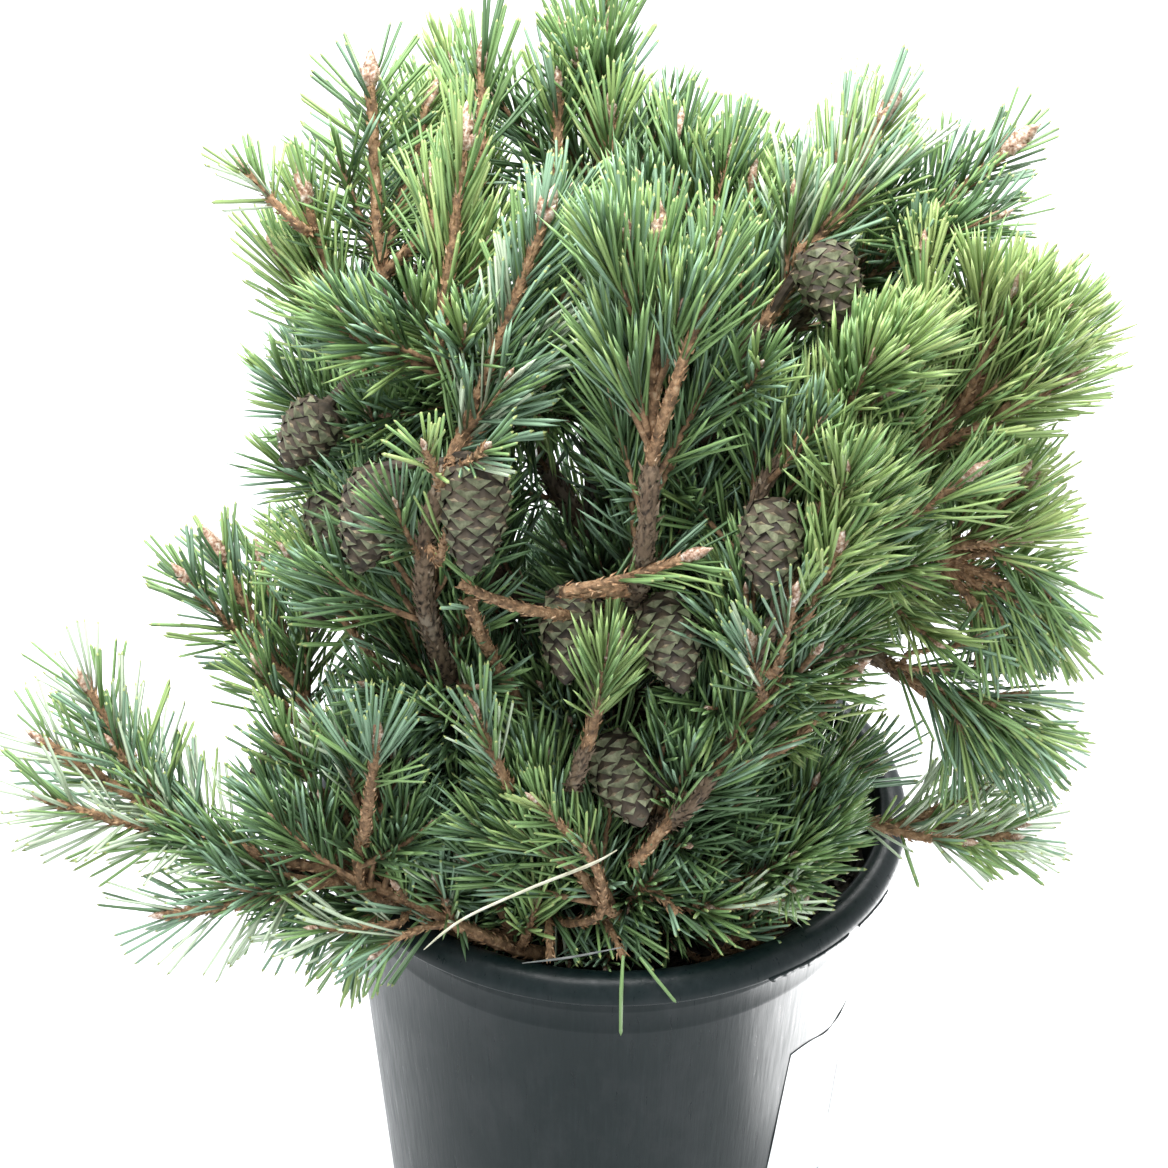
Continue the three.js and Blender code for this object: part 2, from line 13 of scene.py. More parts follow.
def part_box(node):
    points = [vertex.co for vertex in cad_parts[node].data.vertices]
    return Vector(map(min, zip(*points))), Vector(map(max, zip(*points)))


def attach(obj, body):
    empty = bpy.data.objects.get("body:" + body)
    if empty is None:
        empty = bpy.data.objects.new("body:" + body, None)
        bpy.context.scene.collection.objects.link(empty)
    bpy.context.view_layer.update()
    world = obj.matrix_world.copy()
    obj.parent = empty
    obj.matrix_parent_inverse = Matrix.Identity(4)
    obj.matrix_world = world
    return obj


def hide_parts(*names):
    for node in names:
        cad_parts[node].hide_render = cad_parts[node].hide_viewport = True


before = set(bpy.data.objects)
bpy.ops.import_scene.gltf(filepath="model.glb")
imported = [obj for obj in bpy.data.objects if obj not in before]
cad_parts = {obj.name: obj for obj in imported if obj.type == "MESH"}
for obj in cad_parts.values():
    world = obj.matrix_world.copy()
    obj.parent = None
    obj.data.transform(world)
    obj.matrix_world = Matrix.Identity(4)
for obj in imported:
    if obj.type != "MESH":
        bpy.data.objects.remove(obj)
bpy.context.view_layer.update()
MM = 0.001


# ---------------------------------------------------------------- camera
# It stands in front of the pot, well above the crown, and looks down on the shoots and into the rim.

EYE = (-0.01498, -1.30455, 1.35460)
LOOK_DOWN, TILT = 0.6103, 0.0118
FOCAL_PIXELS, FRAME_PIXELS, SENSOR = 3400, 1168, 36

lens = bpy.data.cameras.new("camera")
lens.sensor_width = SENSOR
lens.lens = FOCAL_PIXELS / FRAME_PIXELS * SENSOR
camera = bpy.data.objects.new("camera", lens)
camera.matrix_world = (
    Matrix.Translation(EYE) @ Matrix.Rotation(math.pi / 2 - LOOK_DOWN, 4, "X") @ Matrix.Rotation(TILT, 4, "Z"))
bpy.context.collection.objects.link(camera)
bpy.context.scene.camera = camera


# ---------------------------------------------------------------- studio
# A white room: a pale paper floor, a bright sky on all sides, one soft lamp above the left front and one behind the
# right. Two more lie beside the pot and shine up. Only glossy surfaces show them, as the pale edges of the pot.

SKY_COLOUR, SKY_STRENGTH = (0.95, 0.98, 1, 1), 1.15
PAPER_COLOUR, PAPER_ROUGHNESS, FLOOR_WIDTH = (0.6, 0.61, 0.62, 1), 0.8, 12

bpy.context.scene.view_settings.view_transform = "Standard"

room = bpy.data.worlds.new("white_room")
room.use_nodes = True
sky = room.node_tree.nodes["Background"].inputs
sky["Color"].default_value, sky["Strength"].default_value = SKY_COLOUR, SKY_STRENGTH
bpy.context.scene.world = room


def soft_lamp(name, stand, aim, width, height, watts, lights_matt=True):
    light = bpy.data.lights.new(name, "AREA")
    light.shape = "RECTANGLE"
    light.size, light.size_y, light.energy = width, height, watts
    lamp = bpy.data.objects.new(name, light)
    turn = (Vector(aim) - Vector(stand)).to_track_quat("-Z", "Y")
    lamp.matrix_world = Matrix.Translation(stand) @ turn.to_matrix().to_4x4()
    lamp.visible_camera = False
    lamp.visible_diffuse = lights_matt
    bpy.context.collection.objects.link(lamp)


soft_lamp("lamp_above", (-0.3, -0.25, 2.5), (0, 0, 0.5), 1.0, 1.0, 80)
soft_lamp("lamp_behind", (0.5, 1.3, 2.0), (0, 0, 0.6), 1.4, 1.0, 70)
soft_lamp("sheen_right", (0.46, 0.2, 0.01), (0.46, 0.2, 1), 0.46, 0.7, 12, lights_matt=False)
soft_lamp("sheen_left", (-0.27, 0.36, 0.01), (-0.27, 0.36, 1), 0.24, 0.24, 1.5, lights_matt=False)

bpy.ops.object.select_all(action="DESELECT")
bpy.ops.mesh.primitive_plane_add(size=FLOOR_WIDTH)
floor = bpy.context.object
floor.name = "studio_floor"
paper = bpy.data.materials.new("white_paper")
paper.use_nodes = True
sheet = paper.node_tree.nodes["Principled BSDF"].inputs
sheet["Base Color"].default_value, sheet["Roughness"].default_value = PAPER_COLOUR, PAPER_ROUGHNESS
floor.data.materials.append(paper)


# ---------------------------------------------------------------- pot
# A thin-walled moulded pot of black polypropylene, tapering to a recessed underside, with a rolled rim. It is drawn
# up ring by ring from the middle of its underside, over the rim and down again inside to its floor.

POT_HEIGHT, BASE_RADIUS, TOP_RADIUS, RIM_RADIUS = 320, 106, 132.5, 145
WALL, POT_FLOOR = 2.5, 4
RECESS = 2.4  # how far the underside stands above the foot
HUB_RADIUS = 20
RIM_FOOT, RIM_ROLL = 308, 10.2
STEP, FAINT_RING = 278, 292
POT_SIDES = 192
SHARP_EDGE = math.radians(40)


def wall_radius(height):
    return BASE_RADIUS + (TOP_RADIUS - BASE_RADIUS) * height / POT_HEIGHT


def on_wall(height, proud=0.0):
    return wall_radius(height) + proud, height


def arc(out, up, radius, first, last, steps):
    """Rings round a roll of the wall: the roll's centre, its radius, and the angles it runs between in degrees."""
    angles = np.radians(np.linspace(first, last, steps))
    return [(out + radius * math.cos(a), up + radius * math.sin(a)) for a in angles]


pot_profile = [
    (40, RECESS), (95, RECESS), (97.5, 0.6), (98.5, 0), (103.5, 0), (105.4, 0.5),
    *(on_wall(height) for height in (2.2, 4, 60, 120, 180, 240)),
    (wall_radius(STEP), STEP - 1), on_wall(STEP, 0.22), (wall_radius(STEP) + 0.05, STEP + 1.2),
    (wall_radius(FAINT_RING), FAINT_RING - 0.8), on_wall(FAINT_RING, 0.15), (wall_radius(FAINT_RING), FAINT_RING + 0.8),
    (wall_radius(RIM_FOOT) + 0.2, RIM_FOOT - 1.2), on_wall(RIM_FOOT, 1.2),
    *arc(RIM_RADIUS - 1.5, RIM_FOOT + 1.6, 1.5, -90, 0, 4),
    *arc(RIM_RADIUS - RIM_ROLL, POT_HEIGHT - RIM_ROLL, RIM_ROLL, 0, 90, 12),
    *arc(TOP_RADIUS + 1.9, POT_HEIGHT - 4, 3.9, 90, 180, 6),
    (wall_radius(RIM_FOOT) - WALL, RIM_FOOT - 6), on_wall(270, -WALL), on_wall(150, -WALL),
    (wall_radius(POT_FLOOR) - WALL - 1, POT_FLOOR + 1), (wall_radius(POT_FLOOR) - WALL - 4, POT_FLOOR),
]

bpy.ops.object.select_all(action="DESELECT")
bpy.ops.mesh.primitive_circle_add(
    vertices=POT_SIDES, radius=HUB_RADIUS * MM, fill_type="NGON", location=(0, 0, RECESS * MM))
pot = bpy.context.object
pot.name = "pot_shell"
bpy.ops.object.mode_set(mode="EDIT")
bpy.ops.mesh.select_all(action="SELECT")
bpy.ops.mesh.region_to_loop()
radius, height = HUB_RADIUS, RECESS
for ring_radius, ring_height in pot_profile:
    grow = ring_radius / radius
    bpy.ops.mesh.extrude_edges_move(TRANSFORM_OT_translate={"value": (0, 0, (ring_height - height) * MM)})
    bpy.ops.transform.resize(value=(grow, grow, 1), center_override=(0, 0, ring_height * MM))
    radius, height = ring_radius, ring_height
bpy.ops.mesh.edge_face_add()
bpy.ops.mesh.select_all(action="SELECT")
bpy.ops.mesh.normals_make_consistent(inside=False)
bpy.ops.object.mode_set(mode="OBJECT")
bpy.ops.object.transform_apply(location=True, rotation=True, scale=True)
bpy.ops.object.shade_smooth_by_angle(angle=SHARP_EDGE)


class Finish:
    """A material's node tree, so that each finish reads as a short list of what it is made of."""

    def __init__(self, name, roughness, specular=0.5):
        self.material = bpy.data.materials.new(name)
        self.material.use_nodes = True
        self.tree = self.material.node_tree
        self.surface = self.tree.nodes["Principled BSDF"]
        self.surface.inputs["Roughness"].default_value = roughness
        self.surface.inputs["Specular IOR Level"].default_value = specular
        self.place = self.tree.nodes.new("ShaderNodeTexCoord").outputs["Object"]

    def link(self, source, node, socket):
        self.tree.links.new(source, node.inputs[socket])

    def noise(self, scale, detail=3, stretch=(1, 1, 1), roughness=0.5):
        """Cloudy variation over the piece, drawn out along an axis where `stretch` is small."""
        mapping = self.tree.nodes.new("ShaderNodeMapping")
        mapping.inputs["Scale"].default_value = stretch
        self.link(self.place, mapping, "Vector")
        texture = self.tree.nodes.new("ShaderNodeTexNoise")
        texture.inputs["Scale"].default_value = scale
        texture.inputs["Detail"].default_value = detail
        texture.inputs["Roughness"].default_value = roughness
        self.link(mapping.outputs["Vector"], texture, "Vector")
        return texture.outputs["Fac"]

    def attribute(self, name):
        """A value that the mesh carries at each of its points."""
        node = self.tree.nodes.new("ShaderNodeAttribute")
        node.attribute_name = name
        return node.outputs["Fac"]

    def ramp(self, value, stops):
        """Colours, or greys, at places along a value."""
        node = self.tree.nodes.new("ShaderNodeValToRGB")
        while len(node.color_ramp.elements) < len(stops):
            node.color_ramp.elements.new(0.5)
        for element, (at, colour) in zip(node.color_ramp.elements, stops):
            element.position = at
            element.color = (*colour, 1) if isinstance(colour, tuple) else (colour, colour, colour, 1)
        self.link(value, node, "Fac")
        return node.outputs["Color"]

    def mix(self, share, one, two):
        """One colour going over to another where `share` rises. Sockets 0, 6, 7 and 2 are the node's colour ones."""
        node = self.tree.nodes.new("ShaderNodeMix")
        node.data_type = "RGBA"
        for source, socket in ((share, 0), (one, 6), (two, 7)):
            if isinstance(source, tuple):
                node.inputs[socket].default_value = (*source, 1)
            else:
                self.link(source, node, socket)
        return node.outputs[2]

    def colour(self, source):
        if isinstance(source, tuple):
            self.surface.inputs["Base Color"].default_value = (*source, 1)
        else:
            self.link(source, self.surface, "Base Color")
        return self

    def rough(self, source):
        self.link(source, self.surface, "Roughness")
        return self

    def bump(self, source, strength, depth):
        node = self.tree.nodes.new("ShaderNodeBump")
        node.inputs["Strength"].default_value = strength
        node.inputs["Distance"].default_value = depth * MM
        self.link(source, node, "Height")
        if self.surface.inputs["Normal"].is_linked:
            self.link(self.surface.inputs["Normal"].links[0].from_socket, node, "Normal")
        self.link(node.outputs["Normal"], self.surface, "Normal")
        return self

    def clouded(self, scale, detail, stops, roughness=0.5):
        """Colours that follow a cloudy noise."""
        return self.colour(self.ramp(self.noise(scale, detail, roughness=roughness), stops))

    def grained(self, scale, detail, strength, depth):
        """A bump that follows a fine noise."""
        return self.bump(self.noise(scale, detail), strength, depth)


plastic = Finish("black_polypropylene", 0.36, 0.22)
streaks_and_painted_sheen = plastic.noise(420, 4, (1, 1, 0.012), 0.6)
dust = plastic.noise(60, 5, (1, 1, 0.5), 0.65)
scuffs = plastic.noise(1500, 2, (1, 1, 0.02), 0.7)
# The vertical streaks vary the roughness and bump, and lighten the colour in stripes as painted reflection streaks.
plastic.colour(plastic.mix(
    plastic.ramp(dust, [(0.45, 0.0), (0.8, 0.5)]),
    plastic.ramp(streaks_and_painted_sheen, [(0.35, (0.003, 0.009, 0.01)), (0.62, (0.006, 0.013, 0.014)), (0.8, (0.013, 0.021, 0.023))]),
    (0.03, 0.034, 0.037)))
plastic.rough(plastic.ramp(streaks_and_painted_sheen, [(0.3, 0.26), (0.7, 0.42)]))
plastic.bump(scuffs, 0.12, 0.12).bump(streaks_and_painted_sheen, 0.32, 0.35)
pot.data.materials.append(plastic.material)
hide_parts("pot")
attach(pot, "root")


# ---------------------------------------------------------------- label
# A blank self-adhesive label of coated paper wraps the right front of the pot. Its lower right corner has come
# unstuck and lifts off the wall.

LABEL_TOP, LABEL_BOTTOM = (229, 219), (116, 111)
LABEL_LEFT, LABEL_RIGHT = (-49.6, -45.6), (-16.8, -18.6)
LABEL_WIDTH, LABEL_THICKNESS, LABEL_GAP = 66, 0.15, 0.35
CORNER_LIFT, LIFTED_LENGTH = 7, 30
EDGE_WAVE, WRINKLE = 1.6, 0.22


def part_way(ends, share):
    return ends[0] + (ends[1] - ends[0]) * share


bpy.ops.object.select_all(action="DESELECT")
bpy.ops.mesh.primitive_grid_add(x_subdivisions=32, y_subdivisions=44, size=1)
label = bpy.context.object
label.name = "blank_label"
for vertex in label.data.vertices:
    along, up = vertex.co.x + 0.5, vertex.co.y + 0.5
    low = part_way(LABEL_BOTTOM, along)
    high = part_way(LABEL_TOP, along) + EDGE_WAVE * math.sin(2.6 * math.pi * along)
    height = part_way((low, high), up)
    bearing = math.radians(part_way((part_way(LABEL_LEFT, up), part_way(LABEL_RIGHT, up)), along))
    from_corner = math.hypot((1 - along) * LABEL_WIDTH, up * (high - low))
    lift = CORNER_LIFT * max(0, 1 - from_corner / LIFTED_LENGTH) ** 2
    wrinkle = WRINKLE * math.sin(21 * along + 4 * up) * math.sin(9 * up + 3 * along) ** 2
    radius = wall_radius(height) + LABEL_GAP + lift + wrinkle
    vertex.co = (radius * math.cos(bearing) * MM, radius * math.sin(bearing) * MM, height * MM)
bpy.ops.object.modifier_add(type="SOLIDIFY")
label.modifiers["Solidify"].thickness = LABEL_THICKNESS * MM
label.modifiers["Solidify"].offset = 1
bpy.ops.object.modifier_apply(modifier="Solidify")
bpy.ops.object.shade_smooth_by_angle(angle=SHARP_EDGE)
coated = Finish("coated_label_paper", 0.38, 0.4)
coated.clouded(55, 4, [(0.35, (0.62, 0.66, 0.67)), (0.7, (0.78, 0.82, 0.83))])
coated.bump(coated.noise(130, 3, (1, 1, 0.4)), 0.2, 0.4)
label.data.materials.append(coated.material)
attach(label, "root")


# ---------------------------------------------------------------- rim flash
# A thin ragged edge of the pot's own plastic hangs under the rim's outer corner at the right front. It was squeezed
# out where the halves of the mould met, and nobody trimmed it off.

FLASH_RADIUS, FLASH_THICKNESS, FLASH_TOP = 144.9, 0.4, RIM_FOOT + 1.9
FLASH_LONGEST, FLASH_PER_DEGREE = 3.4, 2.5


def mesh_piece(name, points, triangles, materials, smooth=True, face_materials=None):
    """One joined piece from arrays of points in millimetres and of triangles."""
    mesh = bpy.data.meshes.new(name)
    points = np.asarray(points, dtype=np.float64).reshape(-1, 3) * MM
    triangles = np.asarray(triangles, dtype=np.int32).reshape(-1, 3)
    mesh.vertices.add(len(points))
    mesh.vertices.foreach_set("co", points.ravel())
    mesh.loops.add(triangles.size)
    mesh.loops.foreach_set("vertex_index", triangles.ravel())
    mesh.polygons.add(len(triangles))
    mesh.polygons.foreach_set("loop_start", np.arange(0, triangles.size, 3, dtype=np.int32))
    mesh.polygons.foreach_set("use_smooth", np.full(len(triangles), smooth))
    for material in materials:
        mesh.materials.append(material)
    if face_materials is not None:
        mesh.polygons.foreach_set("material_index", np.asarray(face_materials, dtype=np.int32))
    mesh.update(calc_edges=True)
    piece = bpy.data.objects.new(name, mesh)
    bpy.context.collection.objects.link(piece)
    return piece


def joined(parts):
    """Several (points, triangles) pairs as one."""
    offset, points, triangles = 0, [], []
    for part_points, part_triangles in parts:
        points.append(part_points)
        triangles.append(part_triangles + offset)
        offset += len(part_points)
    return np.concatenate(points), np.concatenate(triangles)


def sleeve(rings, sides):
    """The triangles between each ring of corners and the next."""
    one = np.arange((rings - 1) * sides)
    two = one - one % sides + (one + 1) % sides
    return np.stack([one, one + sides, two + sides, one, two + sides, two], 1).reshape(-1, 3)


def ragged_edge(first, last, seed):
    """A thin strip under the rim from one bearing to another, hanging down unevenly."""
    own = np.random.default_rng(seed)
    count = int((last - first) * FLASH_PER_DEGREE)
    bearings = np.radians(np.linspace(first, last, count))
    hang = np.convolve(own.uniform(0.1, FLASH_LONGEST, count + 4), np.ones(5) / 5, "valid")
    hang = hang * own.uniform(0.6, 1.3, count)
    hang[0] = hang[-1] = 0.2
    inner, outer = FLASH_RADIUS, FLASH_RADIUS + FLASH_THICKNESS
    points = np.stack([
        np.stack([radius * np.cos(bearings), radius * np.sin(bearings), FLASH_TOP - drop], 1)
        for radius, drop in ((inner, 0 * hang), (outer, 0 * hang), (outer, hang + 1), (inner, hang + 1))], 1)
    end = 4 * (count - 1)
    caps = [(0, 1, 2), (0, 2, 3), (end, end + 2, end + 1), (end, end + 3, end + 2)]
    return points.reshape(-1, 3), np.concatenate([sleeve(count, 4), caps])


flash = mesh_piece("rim_flash", *joined([ragged_edge(-60, -40, 1), ragged_edge(-37, -25, 2)]), [plastic.material])
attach(flash, "root")


# ---------------------------------------------------------------- compost
# Dark moist compost of peat and rotted bark fills the pot from its floor to a little below its rim. Its top is a
# rough crust of crumbs, with chips of pine bark lying about on it.

SOIL_TOP, CRUMB = 275, 3.4
CRUST_RINGS, CRUST_SPOKES = 46, 120
CRUST_RADIUS, FLOOR_RADIUS = wall_radius(SOIL_TOP) - WALL - 0.6, wall_radius(POT_FLOOR) - WALL - 5
FILL_FOOT = POT_FLOOR + 0.5
CHIPS, CHIP_SHAPE = 900, np.array([1, 0.6, 0.5])


def copies(points, triangles, origins, axes):
    """Many copies of a small shape: its points, turned to each set of three axes and moved to each origin."""
    placed = np.einsum("pk,nkc->npc", points, axes) + origins[:, None, :]
    step = len(points) * np.arange(len(origins))[:, None, None]
    return placed.reshape(-1, 3), (triangles[None] + step).reshape(-1, 3)


def fan(hub, ring):
    """The triangles from a hub to each side of a ring."""
    return np.stack([np.full(len(ring), hub), ring, np.roll(ring, -1)], 1)


dice = np.random.default_rng(5)
ring_index, spoke_index = np.meshgrid(np.arange(1, CRUST_RINGS + 1), np.arange(CRUST_SPOKES), indexing="ij")
out = CRUST_RADIUS * (ring_index / CRUST_RINGS) ** 0.8
bearing = 2 * math.pi * spoke_index / CRUST_SPOKES
lumps = CRUMB * (dice.random((CRUST_RINGS, CRUST_SPOKES)) - 0.7) * (ring_index < CRUST_RINGS)
crust = np.stack([out * np.cos(bearing), out * np.sin(bearing), SOIL_TOP + lumps], -1).reshape(-1, 3)
foot = np.stack([FLOOR_RADIUS * np.cos(bearing[0]), FLOOR_RADIUS * np.sin(bearing[0]), 0 * out[0] + FILL_FOOT], -1)
first_ring, foot_ring = np.arange(CRUST_SPOKES), len(crust) + np.arange(CRUST_SPOKES)
hub = len(crust) + CRUST_SPOKES
fill = (np.concatenate([crust, foot, [[0, 0, SOIL_TOP], [0, 0, FILL_FOOT]]]),
        np.concatenate([sleeve(CRUST_RINGS + 1, CRUST_SPOKES), fan(hub, first_ring), fan(hub + 1, foot_ring)[:, ::-1]]))

chip_points = np.array([
    (-0.5, -0.5, 0), (0.5, -0.4, 0), (0.45, 0.5, 0), (-0.5, 0.4, 0),
    (-0.42, -0.4, 0.3), (0.4, -0.36, 0.36), (0.42, 0.36, 0.3), (-0.38, 0.42, 0.38)])
chip_faces = np.concatenate([sleeve(2, 4)[:, ::-1], [(0, 2, 1), (0, 3, 2), (4, 5, 6), (4, 6, 7)]])
chip_out = (CRUST_RADIUS - 7) * np.sqrt(dice.random(CHIPS))
chip_bearing = 2 * math.pi * dice.random(CHIPS)
chip_places = np.stack([
    chip_out * np.cos(chip_bearing), chip_out * np.sin(chip_bearing), SOIL_TOP + dice.uniform(-1.5, 1.5, CHIPS)], -1)
chip_turns = np.linalg.qr(dice.normal(size=(CHIPS, 3, 3)))[0]
chip_axes = chip_turns * (dice.uniform(3, 11, (CHIPS, 1, 1)) * CHIP_SHAPE[None, :, None])

humus = Finish("moist_compost", 0.92)
humus.clouded(240, 6, [
    (0.3, (0.006, 0.005, 0.004)), (0.5, (0.02, 0.014, 0.009)), (0.7, (0.05, 0.034, 0.02))], 0.7)
humus.grained(900, 4, 0.7, 0.8)
soil = mesh_piece("compost", *joined([fill, copies(chip_points, chip_faces, chip_places, chip_axes)]),
                  [humus.material], smooth=False)
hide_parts("soil")
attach(soil, "root")


# ---------------------------------------------------------------- how the plant grows
# The same rule as the solid plant's: a trunk, boughs from it to the foot of each mass, a leading shoot in each mass
# and twigs in loose whorls round it. Each row is one mass: what carries it and where, the foot of its foliage, its
# leading bud, the girth of its own bough or 0 for none, how many twigs, and the colour of its needles. The darkest
# colour is painted shade on masses that stand in shadow, and the palest is painted light where glare washes them out.

TRUNK_TOP = (103, 44, 640)
TRUNK_LINE = [(300, 7, 262), (120, 3, 390), (112, 24, 520), TRUNK_TOP]
CROWN = [
    ("top", "trunk", 1, TRUNK_TOP, (113, 56, 692), 0, 3, "mid"),
    ("upper_left", "trunk", 0.36, (182, 106, 605), (160, 118, 680), 1, 1, "mid"),
    ("far_left", "upper_left", 0.5, (190, 116, 566), (178, 138, 640), 0.75, 1, "fresh"),
    ("left_inner", "trunk", 0.74, (219, 99, 616), (208, 76, 689), 0, 1, "fresh"),
    ("front_blue", "trunk", 0.2, (234, 124, 572), (244, 76, 673), 1, 2, "blue"),
    ("top_right", "trunk", 0.78, (318, 42, 622), (0, 44, 662), 0, 3, "mid"),
    ("fork", "trunk", 0.42, (276, 117, 584), (280, 83, 670), 1, 2, "mid"),
    ("upper_right", "trunk", 0.52, (315, 84, 618), (353, 110, 692), 1, 2, "pale"),
    ("right_back", "trunk", 0.6, (355, 106, 620), (4, 165, 665), 0.8, 1, "deep"),
    ("right_bright", "trunk", 0.28, (331, 147, 561), (346, 182, 616), 1.05, 4, "yellow"),
    ("right_mid", "right_bright", 0.5, (304, 121, 577), (323, 131, 616), 0.7, 3, "fresh"),
    ("right_inner", "right_bright", 0.3, (298, 148, 526), (312, 140, 575), 0.75, 3, "fresh"),
    ("right_edge", "right_bright", 0.68, (334, 158, 503), (342, 186, 535), 0.7, 3, "yellow"),
    ("right_droop", "trunk", 0.24, (331, 147, 445), (334, 199, 418), 0.85, 3, "mid"),
    ("right_low", "trunk", 0.1, (326, 138, 364), (336, 202, 367), 0.85, 3, "pale"),
    ("mid_right", "trunk", 0.17, (289, 133, 429), (309, 128, 484), 0.85, 4, "mid"),
    ("front_right", "mid_right", 0.5, (276, 133, 390), (294, 122, 440), 0, 3, "deep"),
    ("low_right", "trunk", 0.06, (295, 102, 340), (318, 125, 359), 0, 3, "mid"),
    ("front_centre", "trunk", 0.3, (264, 129, 444), (269, 115, 485), 0.75, 1, "fresh"),
    ("front_bright", "trunk", 0.07, (264, 125, 366), (250, 115, 405), 0, 3, "mid"),
    ("front_low", "trunk", 0.1, (243, 110, 321), (229, 119, 390), 0, 3, "deep"),
    ("front_fan", "trunk", 0.09, (224, 160, 372), (221, 141, 417), 0, 4, "blue"),
    ("left_mid", "front_blue", 0.35, (222, 107, 433), (202, 135, 500), 0.85, 3, "mid"),
    ("left_up", "trunk", 0.17, (197, 144, 388), (184, 183, 462), 0.8, 2, "mid"),
    ("left_long", "trunk", 0.03, (211, 188, 352), (198, 273, 411), 0.9, 3, "pale"),
    ("left_low", "left_long", 0.72, (220, 175, 352), (211, 237, 341), 0, 1, "blue"),
    ("back_high", "trunk", 0.62, (86, 88, 556), (84, 110, 618), 0, 3, "mid"),
    ("back_left_high", "trunk", 0.5, (136, 90, 572), (136, 112, 634), 0.85, 3, "fresh"),
    ("back_right_high", "trunk", 0.5, (42, 104, 544), (42, 128, 602), 0.85, 4, "mid"),
    ("back_right", "trunk", 0.32, (12, 136, 486), (10, 180, 546), 0.9, 4, "yellow"),
    ("back_mid", "trunk", 0.4, (68, 122, 494), (64, 160, 562), 0.85, 4, "fresh"),
    ("back_left", "trunk", 0.26, (158, 108, 474), (160, 134, 544), 0.85, 3, "blue"),
    ("back_low_right", "trunk", 0.16, (34, 112, 378), (28, 166, 430), 0, 3, "mid"),
    ("back_low", "trunk", 0.2, (90, 106, 388), (84, 154, 448), 0, 3, "deep"),
    ("back_low_left", "trunk", 0.12, (142, 110, 376), (146, 152, 436), 0, 3, "mid"),
]
NAMES = [row[0] for row in CROWN]
MASS_NODES = ["mass_" + name for name in NAMES]

FLARE_RADIUS, FLARE_HEIGHT, TRUNK_ROOT, TRUNK_TIP = 27, 26, 14, 4.2
BOUGH_ROOT, BOUGH_TIP = 6.4, 3.4
STEM_ROOT, STEM_TIP, STEM_SAG = 3.3, 2.2, 0.12
TWIG_ROOT, TWIG_TIP, TWIG_SHORTEST, TWIG_DROOP = 2.5, 1.8, 34, 0.3
SPRINGING, SETTLING = 0.36, 0.34  # how far a bough holds its first and its last direction
STATIONS = 61
UP = np.array([0.0, 0.0, 1.0])


def place(bearing, reach, height):
    angle = math.radians(bearing)
    return np.array([reach * math.cos(angle), reach * math.sin(angle), height])


def unit(vectors):
    vectors = np.asarray(vectors, dtype=float)
    return vectors / np.linalg.norm(vectors, axis=-1, keepdims=True)


def chance(seed):
    """The plant's own dice, seeded, so that the same twigs grow every time."""
    state = seed

    def roll():
        nonlocal state
        state = (state + 0x6D2B79F5) & 0xFFFFFFFF
        mixed = (state ^ (state >> 15)) * (state | 1) & 0xFFFFFFFF
        mixed ^= (mixed + (mixed ^ (mixed >> 7)) * (mixed | 61)) & 0xFFFFFFFF
        return (mixed ^ (mixed >> 14)) / 4294967296

    return roll


def leaning(axis, lean, turn):
    """A direction that leans off `axis` by `lean` degrees, turned `turn` degrees round it."""
    side = unit(np.cross(axis, (1, 0, 0) if abs(axis[2]) > 0.9 else UP))
    turn, lean = math.radians(turn), math.radians(lean)
    side = side * math.cos(turn) + np.cross(axis, side) * math.sin(turn)
    return unit(side * math.sin(lean) + axis * math.cos(lean))


def evened(line, count=STATIONS):
    """The same line with its points an even distance apart."""
    run = np.concatenate([[0], np.cumsum(np.linalg.norm(np.diff(line, axis=0), axis=1))])
    return np.stack([np.interp(np.linspace(0, run[-1], count), run, line[:, k]) for k in range(3)], 1)


def bezier(*corners):
    t = np.linspace(0, 1, 201)[:, None]
    lines = [np.broadcast_to(corner, (201, 3)) for corner in corners]
    while len(lines) > 1:
        lines = [one + (two - one) * t for one, two in zip(lines, lines[1:])]
    return evened(lines[0])


def through(corners):
    """A smooth line through its corners."""
    corners = [2 * corners[0] - corners[1], *corners, 2 * corners[-1] - corners[-2]]
    t = np.linspace(0, 1, 80)[:, None]
    pieces = []
    for before, start, end, after in zip(corners, corners[1:], corners[2:], corners[3:]):
        gaps = [np.linalg.norm(b - a) ** 0.5 for a, b in ((before, start), (start, end), (end, after))]
        slope_in = (start - before) / gaps[0] - (end - before) / (gaps[0] + gaps[1]) + (end - start) / gaps[1]
        slope_out = (end - start) / gaps[1] - (after - start) / (gaps[1] + gaps[2]) + (after - end) / gaps[2]
        slope_in, slope_out = slope_in * gaps[1], slope_out * gaps[1]
        pieces.append(
            start + slope_in * t + (3 * (end - start) - 2 * slope_in - slope_out) * t**2
            + (2 * (start - end) + slope_in + slope_out) * t**3)
    return evened(np.concatenate(pieces))


def point_on(line, at):
    where = np.clip(np.asarray(at, dtype=float), 0, 1) * (len(line) - 1)
    low = np.minimum(where.astype(int), len(line) - 2)
    return line[low] + (line[low + 1] - line[low]) * (where - low)[..., None]


def heading_on(line, at):
    at = np.asarray(at)
    return unit(point_on(line, np.minimum(at + 0.02, 1)) - point_on(line, np.maximum(at - 0.02, 0)))


def length_of(line):
    return float(np.linalg.norm(np.diff(line, axis=0), axis=1).sum())


def trunk_girth(at):
    flare = np.maximum(0, 1 - at * (TRUNK_TOP[2] - SOIL_TOP) / FLARE_HEIGHT)
    return TRUNK_ROOT + (TRUNK_TIP - TRUNK_ROOT) * at + (FLARE_RADIUS - TRUNK_ROOT) * flare**2


def tapering(root, tip):
    return lambda at: root + (tip - root) * at


def rising(start, springing, leaving, foot):
    """The line of a bough or a bare stem, from where it springs to where its foliage starts."""
    rise = np.linalg.norm(foot - start)
    return bezier(start, start + springing * rise * SPRINGING, foot - leaving * rise * SETTLING, foot)


